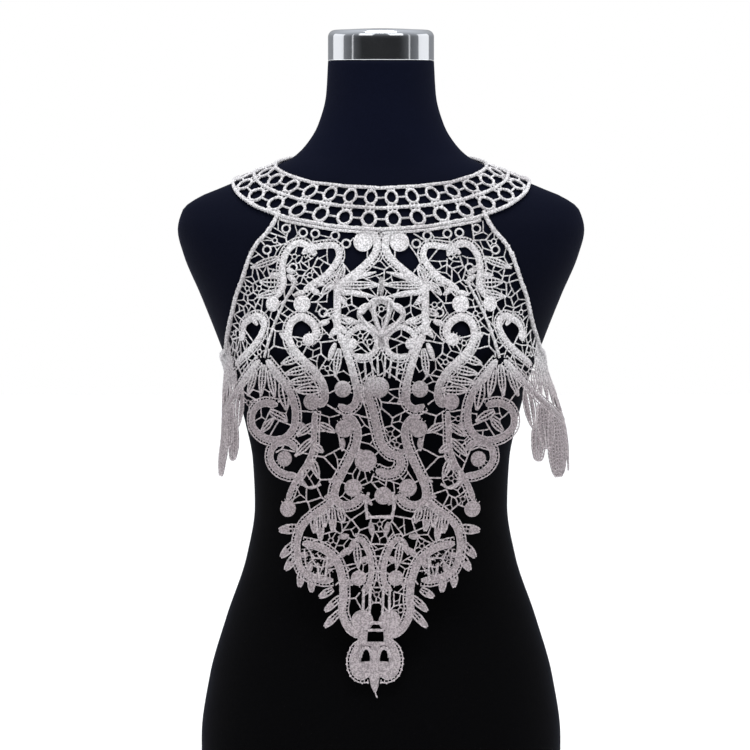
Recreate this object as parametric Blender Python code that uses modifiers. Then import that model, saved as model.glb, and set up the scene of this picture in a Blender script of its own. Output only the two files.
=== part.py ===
# Lace collar on a dress form: a guipure neck band and pointed bib, worn on a limbless form.
# Metres, +Z up, the front faces -Y. The origin is the middle of the form's flat base.
# The lace is charted flat in millimetres, cut through, then laid round the worn surface.
import bpy
import bmesh
import math
import numpy as np
from mathutils import Vector
from mathutils.geometry import delaunay_2d_cdt

MM = 0.001
EYE_DISTANCE = 2400.0    # the places below are measured from this far in front of the form
EYE_HEIGHT = 420.0
NECK_TOP = 734.0
CAP_RADIUS = 53.0
CAP_HEIGHT = 31.0
NECK_LEAN = 0.12         # the neck's top is cut sloping down towards the front by this much
NECK_LEAN_FROM = 640.0   # above this height the form's sections begin to lean
PIECE_GAP = 0.3
BAND_SEAM_DROP = 0.8     # the bib starts this far below the band's edge
FORM_SEGMENTS = 36

REST_GAP = 1.2           # the lace's inside lies this far off the form
GROUND = 1.2             # thickness of brides and plain ground
TAPE = 2.4               # thickness along the middle of a tape, leaf or disc
BRIDE_RADIUS = 1.0
WHOLE_GAP = 4.0          # narrower gaps stay closed
GAPS_IN_BIB = 224
CELL = 10.5              # spacing of the net's cells
GRID = 1.0
TOLERANCE = 0.75

BAND_WIDTH = 51.0
BAND_RINGS = 30          # rings in each of two rows, all round the neck
RING_HOLE = 9.5
BAND_ROWS = (13.2, 38.0)
BAND_CORDS = (2.0, 25.6, 49.0)
BAND_FRONT_RINGS = 16

# The form's level sections: height, half width, front depth, back depth, roundness power
FORM = np.array([
    [0, 177, 106, 110, 2.4],
    [60, 179, 108, 112, 2.4],
    [120, 171, 106, 111, 2.4],
    [180, 154, 100, 106, 2.4],
    [240, 134, 92, 95, 2.3],
    [290, 126, 88, 85, 2.3],
    [335, 128, 91, 84, 2.3],
    [375, 136, 97, 87, 2.3],
    [415, 147, 104, 91, 2.4],
    [450, 160, 108, 96, 2.4],
    [500, 180, 103, 103, 2.4],
    [540, 197, 93, 104, 2.4],
    [565, 203, 84, 99, 2.4],
    [585, 198, 73, 92, 2.3],
    [597, 183, 66, 85, 2.2],
    [606, 162, 61, 79, 2.15],
    [616, 138, 58, 73, 2.1],
    [626, 112, 56, 67, 2.05],
    [636, 90, 55, 62, 2.0],
    [650, 75, 54, 58, 2.0],
    [670, 63, 53, 55, 2.0],
    [700, 55, 52, 54, 2.0],
    [734, 53, 53, 53, 2.0]], float)
FORM_LEVELS = ([0, 45, 90, 135, 175, 210, 245, 280, 315, 350, 378, 400, 418, 434, 450, 468, 490]
               + [512, 532, 550, 565, 577, 587, 595, 602, 609, 616, 623, 630, 637, 645, 656, 672, 700, 734])
BUST = {"turn": 33.0, "height": 436.0, "rise": 24.0, "spread": 21.0, "above": 46.0, "below": 34.0}

# The hanging cloth's level sections: height, left half, right half, front, back, roundness power
DRAPE = np.array([
    [60, 150, 150, 108, 100, 2.4],
    [110, 150, 150, 111, 100, 2.4],
    [200, 154, 158, 116, 100, 2.5],
    [250, 156, 164, 120, 104, 2.6],
    [300, 159, 178, 124, 110, 2.7],
    [330, 160, 186, 127, 112, 2.8],
    [365, 157, 183, 130, 112, 2.9],
    [400, 156, 173, 132, 112, 3.0],
    [425, 154, 164, 132, 110, 3.0],
    [445, 152, 158, 130, 106, 3.0],
    [480, 150, 154, 118, 100, 2.7],
    [520, 150, 152, 100, 90, 2.5],
    [620, 100, 100, 40, 50, 2.3]], float)
# How far the hanging point leans to one side: height, shift
LEAN = np.array([[110, -7], [210, -4.5], [300, -1], [350, 0], [700, 0]], float)
# Height of the neck band's inner edge by degrees round from the centre front
BAND_EDGE = np.array([[0, 602], [30, 604], [50, 608], [62, 615], [78, 627], [95, 636], [120, 642],
                      [180, 646]],
                     float)

# Places below are (out, up): distance out from the centre line and height, as seen from the front.
# The scrolls: name, tape width, route, then discs at the curls as (out, up, radius)
SCROLLS = [
    ("top scroll", 7.5, [(20, 564), (8, 561), (4, 551), (7, 540), (15, 531), (28, 520), (44, 508)],
     [(18, 553, 10)]),
    ("outer scroll", 7.0, [(79, 541), (73, 547), (80, 552), (89, 549), (96, 540), (99, 526), (98, 510),
                           (105, 497)],
     [(108, 491, 8)]),
    ("inner scroll", 6.5, [(66, 539), (70, 546), (58, 549), (46, 549), (42, 541), (45, 532), (56, 519),
                           (70, 510), (78, 502)], [(79, 491, 9)]),
    ("ear", 7.0, [(139, 459), (138, 469), (131, 476), (123, 479), (117, 473), (120, 461), (130, 447),
                  (148, 430)],
     [(139, 459, 6)]),
    ("great scroll", 8.0, [(72, 455), (65, 462), (69, 472), (80, 478), (90, 472), (93, 459), (88, 446),
                           (78, 435),
                           (66, 423), (58, 409), (57, 396), (63, 388)], [(69, 393, 8.5), (72, 455, 6.5)]),
    ("hooked scroll", 7.5, [(43, 462), (38, 452), (32, 435), (27, 417), (24, 402), (27, 390), (35, 386),
                            (43, 390)],
     [(38, 406, 8.5)]),
    ("eyed scroll", 6.0, [(38, 450), (31, 462), (20, 468), (9, 463), (4, 453), (8, 442), (18, 438),
                          (29, 440)],
     [(30, 451, 6)]),
    ("outer hook", 7.5, [(115, 435), (107, 425), (98, 413), (90, 399), (86, 383), (88, 367), (97, 357),
                         (109, 355),
                         (121, 359), (130, 368), (131, 379), (126, 388), (116, 392), (104, 390)], []),
    ("lower hook", 7.0, [(84, 345), (92, 352), (102, 353), (110, 346), (111, 335), (104, 325), (93, 320),
                         (84, 320)],
     [(97, 336, 8)]),
    ("inner scroll pair", 8.0, [(39, 378), (30, 376), (24, 366), (25, 352), (31, 337), (39, 321), (45, 307),
                                (45, 296), (37, 290), (26, 292), (18, 301)], [(37, 367, 9), (27, 307, 9)]),
    ("bulb stem", 6.0, [(66, 384), (67, 370), (68, 347), (74, 331), (80, 322), (88, 308), (93, 294)],
     [(92, 287, 8.5)]),
    ("point edge", 7.0, [(46, 295), (56, 287), (66, 280), (76, 270), (81, 256), (81, 243), (78, 229),
                         (70, 220), (56, 215), (44, 215)], []),
    ("leaf scroll", 6.0, [(24, 256), (16, 254), (9, 241), (6, 226), (8, 211), (15, 204)], [(18, 217, 8)]),
    ("v tape", 8.0, [(76, 252), (57, 247), (42, 235), (35, 217), (33, 198), (34, 183), (27, 167), (15, 158)],
     [(14, 174, 11)]),
    ("lobe", 8.0, [(12, 150.5), (18, 146), (21.5, 136), (20, 125), (14, 119), (7, 119)], []),
]
# The long leaves and petals: root, tip, width
LEAVES = [
    ((102, 537), (130, 527), 7), ((99, 512), (121, 513), 10), ((99, 503), (124, 498), 7),
    ((40, 514), (5, 523), 6), ((42, 509), (2, 510), 7), ((40, 504), (5, 498), 6),
    ((48, 512), (60, 500), 7), ((52, 474), (64, 470), 6), ((37, 477), (22, 471), 6),
    ((46, 452), (53, 434), 6), ((42, 446), (46, 418), 7),
    ((82, 438), (100, 431), 8), ((72, 427), (96, 421), 8), ((66, 416), (94, 412), 8),
    ((60, 405), (86, 404), 8),
    ((118, 430), (121, 399), 8), ((112, 425), (107, 398), 8), ((126, 425), (135, 399), 8),
    ((100, 412), (95, 385), 10), ((112, 384), (94, 374), 8), ((120, 364), (108, 377), 7),
    ((68, 371), (84, 359), 7), ((69, 356), (86, 339), 7), ((62, 371), (46, 363), 7),
    ((69, 336), (62, 317), 7),
    ((39, 357), (39, 344), 6), ((60, 279), (58, 255), 7), ((48, 287), (46, 264), 7),
    ((9, 273), (6, 258), 6), ((22, 252), (19, 227), 7), ((30, 259), (41, 258), 6), ((29, 247), (41, 236), 6),
    ((80, 267), (100, 265), 9), ((84, 252), (97, 238), 8), ((82, 240), (92, 225), 8),
    ((76, 224), (77, 208), 7),
    ((66, 219), (65, 203), 7), ((44, 206), (57, 198), 7), ((36, 198), (51, 184), 7),
    ((36, 184), (51, 168), 7),
]
# Plain cords: width, route
CORDS = [
    (2.6, [(86, 512), (95, 495), (105, 474), (113, 451), (117, 437)]),
    (7.5, [(44, 510), (44, 485), (44, 460)]),
    (4.0, [(0, 496), (8, 494), (14, 487), (22, 480)]),
    (3.0, [(22, 480), (12, 467), (0, 459)]),
    (3.0, [(0, 460), (6, 476), (8, 493)]),
    (2.4, [(78, 325), (78, 313), (70, 307), (60, 311)]),
    (2.6, [(13, 206), (13, 183)]), (2.6, [(6.5, 208), (6.5, 180)]),
    (3.0, [(12, 303), (14, 290), (12, 276)]),
    (2.6, [(0, 278), (12, 278)]), (2.6, [(0, 172), (8, 172)]), (2.6, [(0, 165), (8, 165)]),
    (4.5, [(0, 151), (20, 151)]),
    (2.0, [(4, 438), (3, 419)]), (2.0, [(10, 437), (8, 417)]), (2.0, [(17, 436), (15, 415)]),
    (2.2, [(60, 232), (58, 217)]), (2.2, [(50, 240), (52, 215)]),
    (3.2, [(3.4, 138), (4.6, 144), (9, 147.6), (13.4, 144), (14.6, 138)]),
    (4.8, [(16, 147), (16.5, 138), (16, 128)]),
    (5.8, [(4, 131), (17, 130)]), (5.8, [(4, 126), (17, 125)]), (5.8, [(4, 120.5), (14, 120.5)]),
]
# The pendant's spine: place and radius
PENDANT_SPINE = [(0, 151, 4.8), (0, 135, 4.8), (0, 118, 4.6), (0.5, 108, 2.4), (1, 101, 1.0)]
# Small rings in the ground: out, up
GROUND_RINGS = [(78, 562), (46, 559), (114, 545), (95, 566), (88, 527), (35, 551), (58, 482), (66, 561)]
RING = {"radius": 3.6, "width": 2.4}
# The one middle scroll is not mirrored: its places are (across, up)
MIDDLE_SCROLL = (8.5, [(-5, 418), (-13, 411), (-13, 399), (-9, 387), (-5, 370), (0, 352), (8, 342),
                       (17, 339), (20, 331), (15, 323), (5, 321), (-5, 325)])
MIDDLE_DISCS = [(-3, 408, 10.5), (-15, 334, 11), (3, 300, 9)]
# Open windows in the ground, each one clear gap: out, up, clear radius
WINDOWS = [(27, 533, 12), (52, 445, 8), (52, 350, 13), (104, 500, 8), (128, 462, 9), (103, 440, 9),
           (12, 385, 9), (75, 392, 8), (56, 325, 10), (27, 285, 10), (62, 245, 8), (112, 372, 7),
           (30, 355, 6), (9.5, 139, 6), (24, 495, 7), (100, 455, 8), (80, 463, 6), (12, 195, 6)]

# The armhole edge, from the band down to the side
ARMHOLE = [(102, 583), (106, 574), (113, 563), (123, 552), (130, 540), (135, 526), (139, 513), (144, 499),
           (147, 485), (150, 470), (153, 456), (155, 445)]
# The wings' own chart, as (round, up): distance round the cloth from the centre line, and height
WING_EDGE = [(186, 445), (210, 441), (238, 434), (262, 423), (278, 407), (282, 390)]
WING_BRANCH = [(120, 434), (135, 421), (150, 407), (168, 394), (190, 384), (215, 378), (245, 377),
               (270, 382), (282, 390)]
WING_LOBES = [((168, 392), (169, 350), 26), ((157, 372), (157, 338), 18), ((190, 384), (191, 322), 42),
              ((235, 378), (237, 327), 42), ((271, 384), (272, 345), 26)]
LOBE_POINT = 0.35        # the lower, the blunter the lobe
WING_LEAVES = [((145, 409), (151, 368), 16), ((158, 424), (157, 406), 9), ((169, 438), (166, 402), 10),
               ((179, 452), (177, 396), 12), ((191, 444), (190, 391), 12), ((204, 441), (204, 387), 12),
               ((218, 438), (218, 384), 12), ((233, 434), (233, 384), 12), ((248, 428), (248, 384), 12),
               ((263, 421), (263, 386), 12)]
# Seams between the lace pieces, as (round, up)
WING_SEAM = [(178, 470), (128, 372), (118, 345)]
POINT_SEAM = [(-140, 284), (140, 284)]
PENDANT_SEAM = [(-60, 161.0), (60, 161.0)]


def between(table, height):
    """Read every column of a table at the heights given, on a smooth curve without overshoot."""
    height = np.asarray(height, float)
    rows = table[:, 0]
    step = np.diff(rows)
    i = np.clip(np.searchsorted(rows, height) - 1, 0, len(rows) - 2)
    t = np.clip((height - rows[i]) / step[i], 0, 1)
    columns = []
    for values in table.T[1:]:
        rise = np.diff(values) / step
        slope = np.concatenate([rise[:1], np.zeros(len(rows) - 2), rise[-1:]])
        same = rise[:-1] * rise[1:] > 0
        slope[1:-1][same] = (2 * rise[:-1] * rise[1:])[same] / (rise[:-1] + rise[1:])[same]
        columns.append(values[i] * (2 * t**3 - 3 * t**2 + 1) + slope[i] * step[i] * (t**3 - 2 * t**2 + t)
                       + values[i + 1] * (3 * t**2 - 2 * t**3) + slope[i + 1] * step[i] * (t**3 - t**2))
    return columns


def oval(turn, half, front, back, power):
    depth = np.where(np.abs(turn) <= math.pi / 2, front, back)
    return (np.abs(np.sin(turn) / half)**power + np.abs(np.cos(turn) / depth)**power)**(-1 / power)


def form_radius(turn, height):
    radius = oval(turn, *between(FORM, height))
    reach = np.where(height > BUST["height"], BUST["above"], BUST["below"])
    for side in (-1, 1):
        aside = (turn - side * math.radians(BUST["turn"])) / math.radians(BUST["spread"])
        radius = radius + BUST["rise"] * np.exp(-aside**2 - ((height - BUST["height"]) / reach)**2)
    return radius


def worn_radius(turn, height, even=False):
    left, right, front, back, power = between(DRAPE, height)
    half = (left + right) / 2 if even else np.where(turn < 0, left, right)
    hang = oval(turn, half, front, back, power)
    lie = form_radius(turn, height) + REST_GAP
    soft = 3.0 * np.exp(-((hang - lie) / 8)**2)
    return 0.5 * (hang + lie + np.sqrt((hang - lie)**2 + soft**2))


def on_turn(turn, radius, height):
    return np.stack([radius * np.sin(turn), -radius * np.cos(turn), height + 0 * turn], -1)


def lean_neck(points):
    """Slope the neck's sections and the cap down towards the front."""
    points = np.array(points, float)
    share = np.clip((points[:, 2] - NECK_LEAN_FROM) / (NECK_TOP - NECK_LEAN_FROM), 0, 1)
    points[:, 2] += NECK_LEAN * share * points[:, 1]
    return points


SWEEP = np.linspace(0, math.radians(150), 251)


def worn_section(side, height, even=False):
    """One level section of the worn cloth, and the distance along it from the centre line."""
    turn = side * SWEEP
    points = on_turn(turn, worn_radius(turn, np.full(turn.shape, float(height)), even), height)
    run = np.linalg.norm(np.diff(points, axis=0), axis=1)
    return points, np.concatenate([[0], np.cumsum(run)])


def chart_place(out, up):
    """The chart's (round, up) for a place seen from the front."""
    height = up
    for _ in range(6):
        points, run = worn_section(1, height, even=True)
        nearer = EYE_DISTANCE / (EYE_DISTANCE + points[:, 1])
        across = points[:, 0] * nearer
        widest = int(np.argmax(across))
        u = np.interp(abs(out), across[:widest + 1], run[:widest + 1])
        k = np.interp(abs(out), across[:widest + 1], nearer[:widest + 1])
        height = EYE_HEIGHT + (up - EYE_HEIGHT) / k
    return (math.copysign(u, out), float(height))


LEVELS = np.arange(90.0, 616.0, 4.0)
WORN_GRID = {side: [worn_section(side, level) for level in LEVELS] for side in (-1, 1)}


def wear(point):
    """The worn surface at a chart place, in metres."""
    u, height = point
    side = -1 if u < 0 else 1
    k = float(np.clip((height - LEVELS[0]) / 4.0, 0, len(LEVELS) - 1.001))
    i = int(k)
    ends = []
    for row in (i, i + 1):
        points, run = WORN_GRID[side][row]
        ends.append([np.interp(abs(u), run, points[:, axis]) for axis in range(3)])
    x, y, _ = np.array(ends[0]) * (1 - k + i) + np.array(ends[1]) * (k - i)
    return Vector((x + np.interp(height, *LEAN.T), y, height)) * MM


def smooth_route(points, step=3.0):
    """A smooth curve through hand-set points, about one point to each step."""
    points = np.array(points, float)
    ends = np.vstack([2 * points[0] - points[1], points, 2 * points[-1] - points[-2]])
    route = []
    for a, b, c, d in zip(ends[:-3], ends[1:-2], ends[2:-1], ends[3:]):
        count = max(1, round(float(np.linalg.norm(c - b)) / step))
        for t in np.arange(count) / count:
            route.append(0.5 * (2 * b + (c - a) * t + (2 * a - 5 * b + 4 * c - d) * t**2
                                + (3 * b - a - 3 * c + d) * t**3))
    return np.array(route + [points[-1]])


def both_sides(points):
    return [points, [(-x, y) for x, y in points]]


def charted(points):
    return [chart_place(x, y) for x, y in points]


def list_strokes():
    """Every stroke of the lace in the chart: route, radius at each point, and whether it is raised."""
    strokes = []

    def add(route, radius, raised):
        route = np.array(route, float)
        strokes.append((route, np.broadcast_to(radius, (len(route),)).astype(float), raised))

    def leaf(root, tip, width, point=0.8):
        t = np.linspace(0, 1, 7)[:, None]
        route = np.array(root) * (1 - t) + np.array(tip) * t
        add(route, np.maximum(width / 2 * np.sin(math.pi * (0.12 + 0.86 * t[:, 0]))**point, 0.9), True)

    for _, width, points, discs in SCROLLS:
        for route in both_sides(charted(points)):
            add(smooth_route(route), width / 2, True)
        for disc in discs:
            for middle in both_sides([chart_place(*disc[:2])]):
                add(middle, disc[2], True)
    for root, tip, width in LEAVES:
        for route in both_sides(charted([root, tip])):
            leaf(*route, width)
    for root, tip, width in WING_LOBES:
        for route in both_sides([root, tip]):
            leaf(*route, width, LOBE_POINT)
    for root, tip, width in WING_LEAVES:
        for route in both_sides([root, tip]):
            leaf(*route, width)
    for width, points in CORDS + [(4.0, ARMHOLE)]:
        for route in both_sides(charted(points)):
            add(smooth_route(route), width / 2, width > 6)
    for width, points in [(4.0, WING_EDGE), (7.0, WING_BRANCH)]:
        for route in both_sides(points):
            add(smooth_route(route), width / 2, width > 6)
    for place in GROUND_RINGS:
        for (x, y), in both_sides([chart_place(*place)]):
            around = np.linspace(0, 2 * math.pi, 13)
            loop = np.stack([x + RING["radius"] * np.cos(around), y + RING["radius"] * np.sin(around)], -1)
            add(loop, RING["width"] / 2, False)
    width, points = MIDDLE_SCROLL
    add(smooth_route(charted(points)), width / 2, True)
    for x, y, radius in MIDDLE_DISCS:
        add([chart_place(x, y)], radius, True)
    add(charted([spot[:2] for spot in PENDANT_SPINE]), [spot[2] for spot in PENDANT_SPINE], True)
    add([(u, z - 1.5) for u, z in band_lower_edge()], 2.0, False)
    return strokes


def band_strip(turn):
    """The neck band's line down the form at one turn: points a millimetre apart along its width."""
    degrees = abs(math.degrees(turn))
    start = np.interp(degrees, *BAND_EDGE.T)
    levels = start - np.arange(0, 62.0, 0.5)
    points = on_turn(np.full(levels.shape, turn), form_radius(turn, levels), levels)
    run = np.concatenate([[0], np.cumsum(np.linalg.norm(np.diff(points, axis=0), axis=1))])
    widths = np.linspace(0, BAND_WIDTH, 24)
    return np.stack([np.interp(widths, run, points[:, axis]) for axis in range(3)], -1)


BAND_TURNS = np.linspace(-math.pi, math.pi, 361)
BAND_GRID = np.array([band_strip(turn) for turn in BAND_TURNS])
BAND_RUN = np.concatenate([[0], np.cumsum(np.linalg.norm(np.diff(BAND_GRID[:, 12], axis=0), axis=1))])
BAND_LENGTH = BAND_RUN[-1]


def wear_band(point):
    """The worn band at (distance round from the centre back, distance across), in metres."""
    s, t = point
    i = float(np.interp(s, BAND_RUN, np.arange(len(BAND_RUN))))
    j = t / BAND_WIDTH * (BAND_GRID.shape[1] - 1)
    a, b = min(int(i), len(BAND_RUN) - 2), min(int(j), BAND_GRID.shape[1] - 2)
    p, q, r, w = BAND_GRID[a, b], BAND_GRID[a + 1, b], BAND_GRID[a, b + 1], BAND_GRID[a + 1, b + 1]
    face = np.cross(r - p, q - p)
    face = face / np.linalg.norm(face)
    place = (p * (1 - i + a) + q * (i - a)) * (1 - j + b) + (r * (1 - i + a) + w * (i - a)) * (j - b)
    return Vector(place + REST_GAP * face) * MM


def band_lower_edge():
    """The band's outer edge in the bib's chart, as far as the two armholes."""
    reach = math.radians(62)
    edge = []
    for turn, strip in zip(BAND_TURNS, BAND_GRID):
        if abs(turn) > reach:
            continue
        height = strip[-1][2]
        points, run = worn_section(1, height, even=True)
        widest = int(np.argmax(points[:, 0])) + 1
        u = float(np.interp(abs(strip[-1][0]), points[:widest, 0], run[:widest]))
        edge.append((math.copysign(u, turn), height))
    return edge[::3]


def inside(polygon, x, y):
    """Which of the points lie inside a closed outline."""
    hit = np.zeros(np.shape(x), bool)
    for (ax, ay), (bx, by) in zip(polygon, polygon[1:] + polygon[:1]):
        if ay == by:
            continue
        crosses = (ay > y) != (by > y)
        hit ^= crosses & (x < ax + (y - ay) * (bx - ax) / (by - ay))
    return hit


def net_outline():
    """The outline that the net ground fills, in the chart."""
    edge = [(103, 580)] + ARMHOLE[1:]
    side = charted(edge) + WING_EDGE + WING_BRANCH[:1:-1]
    below = [(134, 380), (131, 368), (121, 360), (105, 356), (108, 346), (104, 328), (92, 321), (80, 322),
             (88, 300), (90, 288), (76, 275), (80, 262), (80, 243), (77, 229), (70, 221), (44, 215),
             (35, 197), (33, 182), (27, 166), (14, 158)]
    half = side + charted(below)
    top = [(u, z - 2) for u, z in band_lower_edge()]
    return top + half + [(-u, z) for u, z in reversed(half)]


def chart_field(strokes, us, zs):
    """Distance to the nearest stroke's edge over the chart, below zero in the lace."""
    field = np.full((len(us), len(zs)), 9.0)
    for route, radius, _ in strokes:
        pieces = list(zip(route[:-1], route[1:], radius[:-1], radius[1:]))
        for a, b, ra, rb in pieces or [(route[0], route[0], radius[0], radius[0])]:
            reach = max(ra, rb) + 8
            i0, i1 = np.searchsorted(us, [min(a[0], b[0]) - reach, max(a[0], b[0]) + reach])
            j0, j1 = np.searchsorted(zs, [min(a[1], b[1]) - reach, max(a[1], b[1]) + reach])
            x, y = np.meshgrid(us[i0:i1], zs[j0:j1], indexing="ij")
            run = max(float(np.dot(b - a, b - a)), 1e-9)
            t = np.clip(((x - a[0]) * (b[0] - a[0]) + (y - a[1]) * (b[1] - a[1])) / run, 0, 1)
            away = np.hypot(x - a[0] - t * (b[0] - a[0]), y - a[1] - t * (b[1] - a[1])) - ra - (rb - ra) * t
            field[i0:i1, j0:j1] = np.minimum(field[i0:i1, j0:j1], away)
    return field


def net_sites(field, ground, x, y):
    """One site for each gap of the net: the open windows first, then the rest as room allows."""
    fixed = []
    for out, up, clear in WINDOWS:
        for (u, z), in both_sides([chart_place(out, up)]):
            fixed.append((u, z, clear))
    room = np.argwhere(ground & (field > 3.2))
    order = np.random.default_rng(7).permutation(len(room))
    sites = list(fixed)
    taken = np.array(sites)
    for i, j in room[order]:
        u, z = x[i, j], y[i, j]
        if np.all(np.hypot(taken[:, 0] - u, taken[:, 1] - z) > taken[:, 2] + CELL / 2):
            taken = np.vstack([taken, (u, z, CELL / 2)])
    sites = taken[:, :2].copy()
    free = ground & (field > 0.5)
    px, py = x[free], y[free]
    for _ in range(2):
        nearest = np.argmin([np.hypot(px - u, py - z) for u, z in sites], axis=0)
        for k in range(len(fixed), len(sites)):
            mine = nearest == k
            if mine.any():
                sites[k] = (px[mine].mean(), py[mine].mean())
    return sites


def net_field(sites, x, y):
    """Distance to the nearest bride's edge: brides run midway between neighbouring gaps."""
    away = np.array([np.hypot(x - u, y - z) for u, z in sites])
    first, second = np.argsort(away, axis=0)[:2]
    d1 = np.take_along_axis(away, first[None], 0)[0]
    d2 = np.take_along_axis(away, second[None], 0)[0]
    apart = np.hypot(*(sites[first] - sites[second]).T)
    return (d2**2 - d1**2) / (2 * np.maximum(apart, 1.0)) - BRIDE_RADIUS


# Which sides of a grid cell the outline joins, for each set of corners inside; lace on the left
JOINS = {1: [(0, 3)], 2: [(1, 0)], 4: [(2, 1)], 8: [(3, 2)], 3: [(1, 3)], 6: [(2, 0)], 12: [(3, 1)],
         9: [(0, 2)],
         7: [(2, 3)], 11: [(1, 2)], 13: [(0, 1)], 14: [(3, 0)], 5: [(0, 3), (2, 1)], 10: [(1, 0), (3, 2)]}


def outlines(field, us, zs):
    """Closed outlines round the lace: the outer one runs one way and those of gaps the other."""
    field = field.copy()
    field[[0, -1], :] = field[:, [0, -1]] = 9.0
    lace = field < 0
    code = lace[:-1, :-1] + 2 * lace[1:, :-1] + 4 * lace[1:, 1:] + 8 * lace[:-1, 1:]
    follow = {}
    for i, j in np.argwhere((code > 0) & (code < 15)):
        sides = ((i, j, 0), (i + 1, j, 1), (i, j + 1, 0), (i, j, 1))
        for a, b in JOINS[int(code[i, j])]:
            follow[sides[a]] = sides[b]
    loops = []
    while follow:
        start, step = follow.popitem()
        loop = [start]
        while step != start:
            loop.append(step)
            step = follow.pop(step)
        points = []
        for i, j, way in loop:
            k, m = (i + 1, j) if way == 0 else (i, j + 1)
            t = field[i, j] / (field[i, j] - field[k, m])
            points.append((us[i] + t * (us[k] - us[i]), zs[j] + t * (zs[m] - zs[j])))
        loops.append(np.array(points))
    return loops


def area(loop):
    x, y = loop[:, 0], loop[:, 1]
    return 0.5 * float(np.sum(x * np.roll(y, -1) - y * np.roll(x, -1)))


def fewer(points, tolerance):
    """Drop points of an open line that lie within the tolerance of their neighbours' chord."""
    if len(points) < 3:
        return points
    a, b = points[0], points[-1]
    run = b - a
    length = np.linalg.norm(run)
    if length < 1e-9:
        away = np.linalg.norm(points - a, axis=1)
    else:
        away = np.abs((points[:, 0] - a[0]) * run[1] - (points[:, 1] - a[1]) * run[0]) / length
    k = int(np.argmax(away))
    if away[k] <= tolerance:
        return points[[0, -1]]
    return np.vstack([fewer(points[:k + 1], tolerance)[:-1], fewer(points[k:], tolerance)])


def fewer_round(loop, tolerance):
    far = int(np.argmax(np.linalg.norm(loop - loop[0], axis=1)))
    first = fewer(loop[:far + 1], tolerance)
    second = fewer(np.vstack([loop[far:], loop[:1]]), tolerance)
    return np.vstack([first[:-1], second[:-1]])


def strip_round(line, width):
    """A thin closed strip along a seam."""
    line = np.array(line, float)
    way = np.gradient(line, axis=0)
    aside = np.stack([-way[:, 1], way[:, 0]], -1) / np.linalg.norm(way, axis=1)[:, None] * width / 2
    return np.vstack([line + aside, (line - aside)[::-1]])


def fill_chart(outer, holes, lines, strips):
    """Triangles that fill an outline, clear of its holes and seam strips, with lines as edges."""
    points, faces, edges = [], [], []
    for loop in [outer] + holes + strips:
        loop = loop if area(loop) > 0 else loop[::-1]
        faces.append(list(range(len(points), len(points) + len(loop))))
        points += [Vector(p) for p in loop]
    for line in lines:
        start = len(points)
        points += [Vector(p) for p in line]
        edges += [(start + k, start + k + 1) for k in range(len(line) - 1)]
    flat, _, triangles, _, _, within = delaunay_2d_cdt(points, edges, faces, 0, 1e-4, True)
    kept = [tri for tri, whose in zip(triangles, within) if 0 in whose and max(whose) == 0]
    return flat, kept


def pieces_apart(triangles):
    """Groups of triangles joined edge to edge."""
    by_edge = {}
    for k, tri in enumerate(triangles):
        for a, b in zip(tri, tri[1:] + tri[:1]):
            by_edge.setdefault((min(a, b), max(a, b)), []).append(k)
    beside = [[] for _ in triangles]
    for group in by_edge.values():
        if len(group) == 2:
            beside[group[0]].append(group[1])
            beside[group[1]].append(group[0])
    seen, groups = set(), []
    for k in range(len(triangles)):
        if k in seen:
            continue
        stack, group = [k], []
        seen.add(k)
        while stack:
            here = stack.pop()
            group.append(triangles[here])
            for near in beside[here]:
                if near not in seen:
                    seen.add(near)
                    stack.append(near)
        groups.append(group)
    return sorted(groups, key=len, reverse=True)


def material(name, colour, roughness, metallic=0.0):
    finish = bpy.data.materials.new(name)
    finish.use_nodes = True
    shader = finish.node_tree.nodes["Principled BSDF"]
    shader.inputs["Base Color"].default_value = (*colour, 1)
    shader.inputs["Roughness"].default_value = roughness
    shader.inputs["Metallic"].default_value = metallic
    return finish


def new_object(name, points, faces, finish, group):
    mesh = bpy.data.meshes.new(name)
    mesh.from_pydata(points, [], faces)
    mesh.materials.append(finish)
    item = bpy.data.objects.new(name, mesh)
    group.objects.link(item)
    return item


def lace_wall(name, flat, triangles, place, thickness, finish, group):
    """An open sheet laid on the worn surface, given its wall with the tapes thicker outside."""
    used = sorted({k for tri in triangles for k in tri})
    number = {k: n for n, k in enumerate(used)}
    points = [place(flat[k]) for k in used]
    item = new_object(name, points, [[number[k] for k in tri] for tri in triangles], finish, group)
    heavy = item.vertex_groups.new(name="wall")
    for k in used:
        heavy.add([number[k]], thickness(flat[k]) / TAPE, "REPLACE")
    wall = item.modifiers.new("wall", "SOLIDIFY")
    wall.thickness = TAPE * MM
    wall.offset = 1
    wall.vertex_group = "wall"
    return item


def make_form(finish, group):
    turns = np.linspace(0, 2 * math.pi, FORM_SEGMENTS, endpoint=False) - math.pi
    points = []
    for level in FORM_LEVELS:
        height = np.full(turns.shape, float(level))
        section = lean_neck(on_turn(turns, form_radius(turns, height), height))
        points += [Vector(p) * MM for p in section]
    n, rings = FORM_SEGMENTS, len(FORM_LEVELS)
    faces = [list(reversed(range(n))), list(range(n * (rings - 1), n * rings))]
    for r in range(rings - 1):
        for k in range(n):
            m = (k + 1) % n
            faces.append([r * n + k, r * n + m, r * n + n + m, r * n + n + k])
    form = new_object("form_torso", points, faces, finish, group)
    form.data.shade_smooth()


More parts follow.
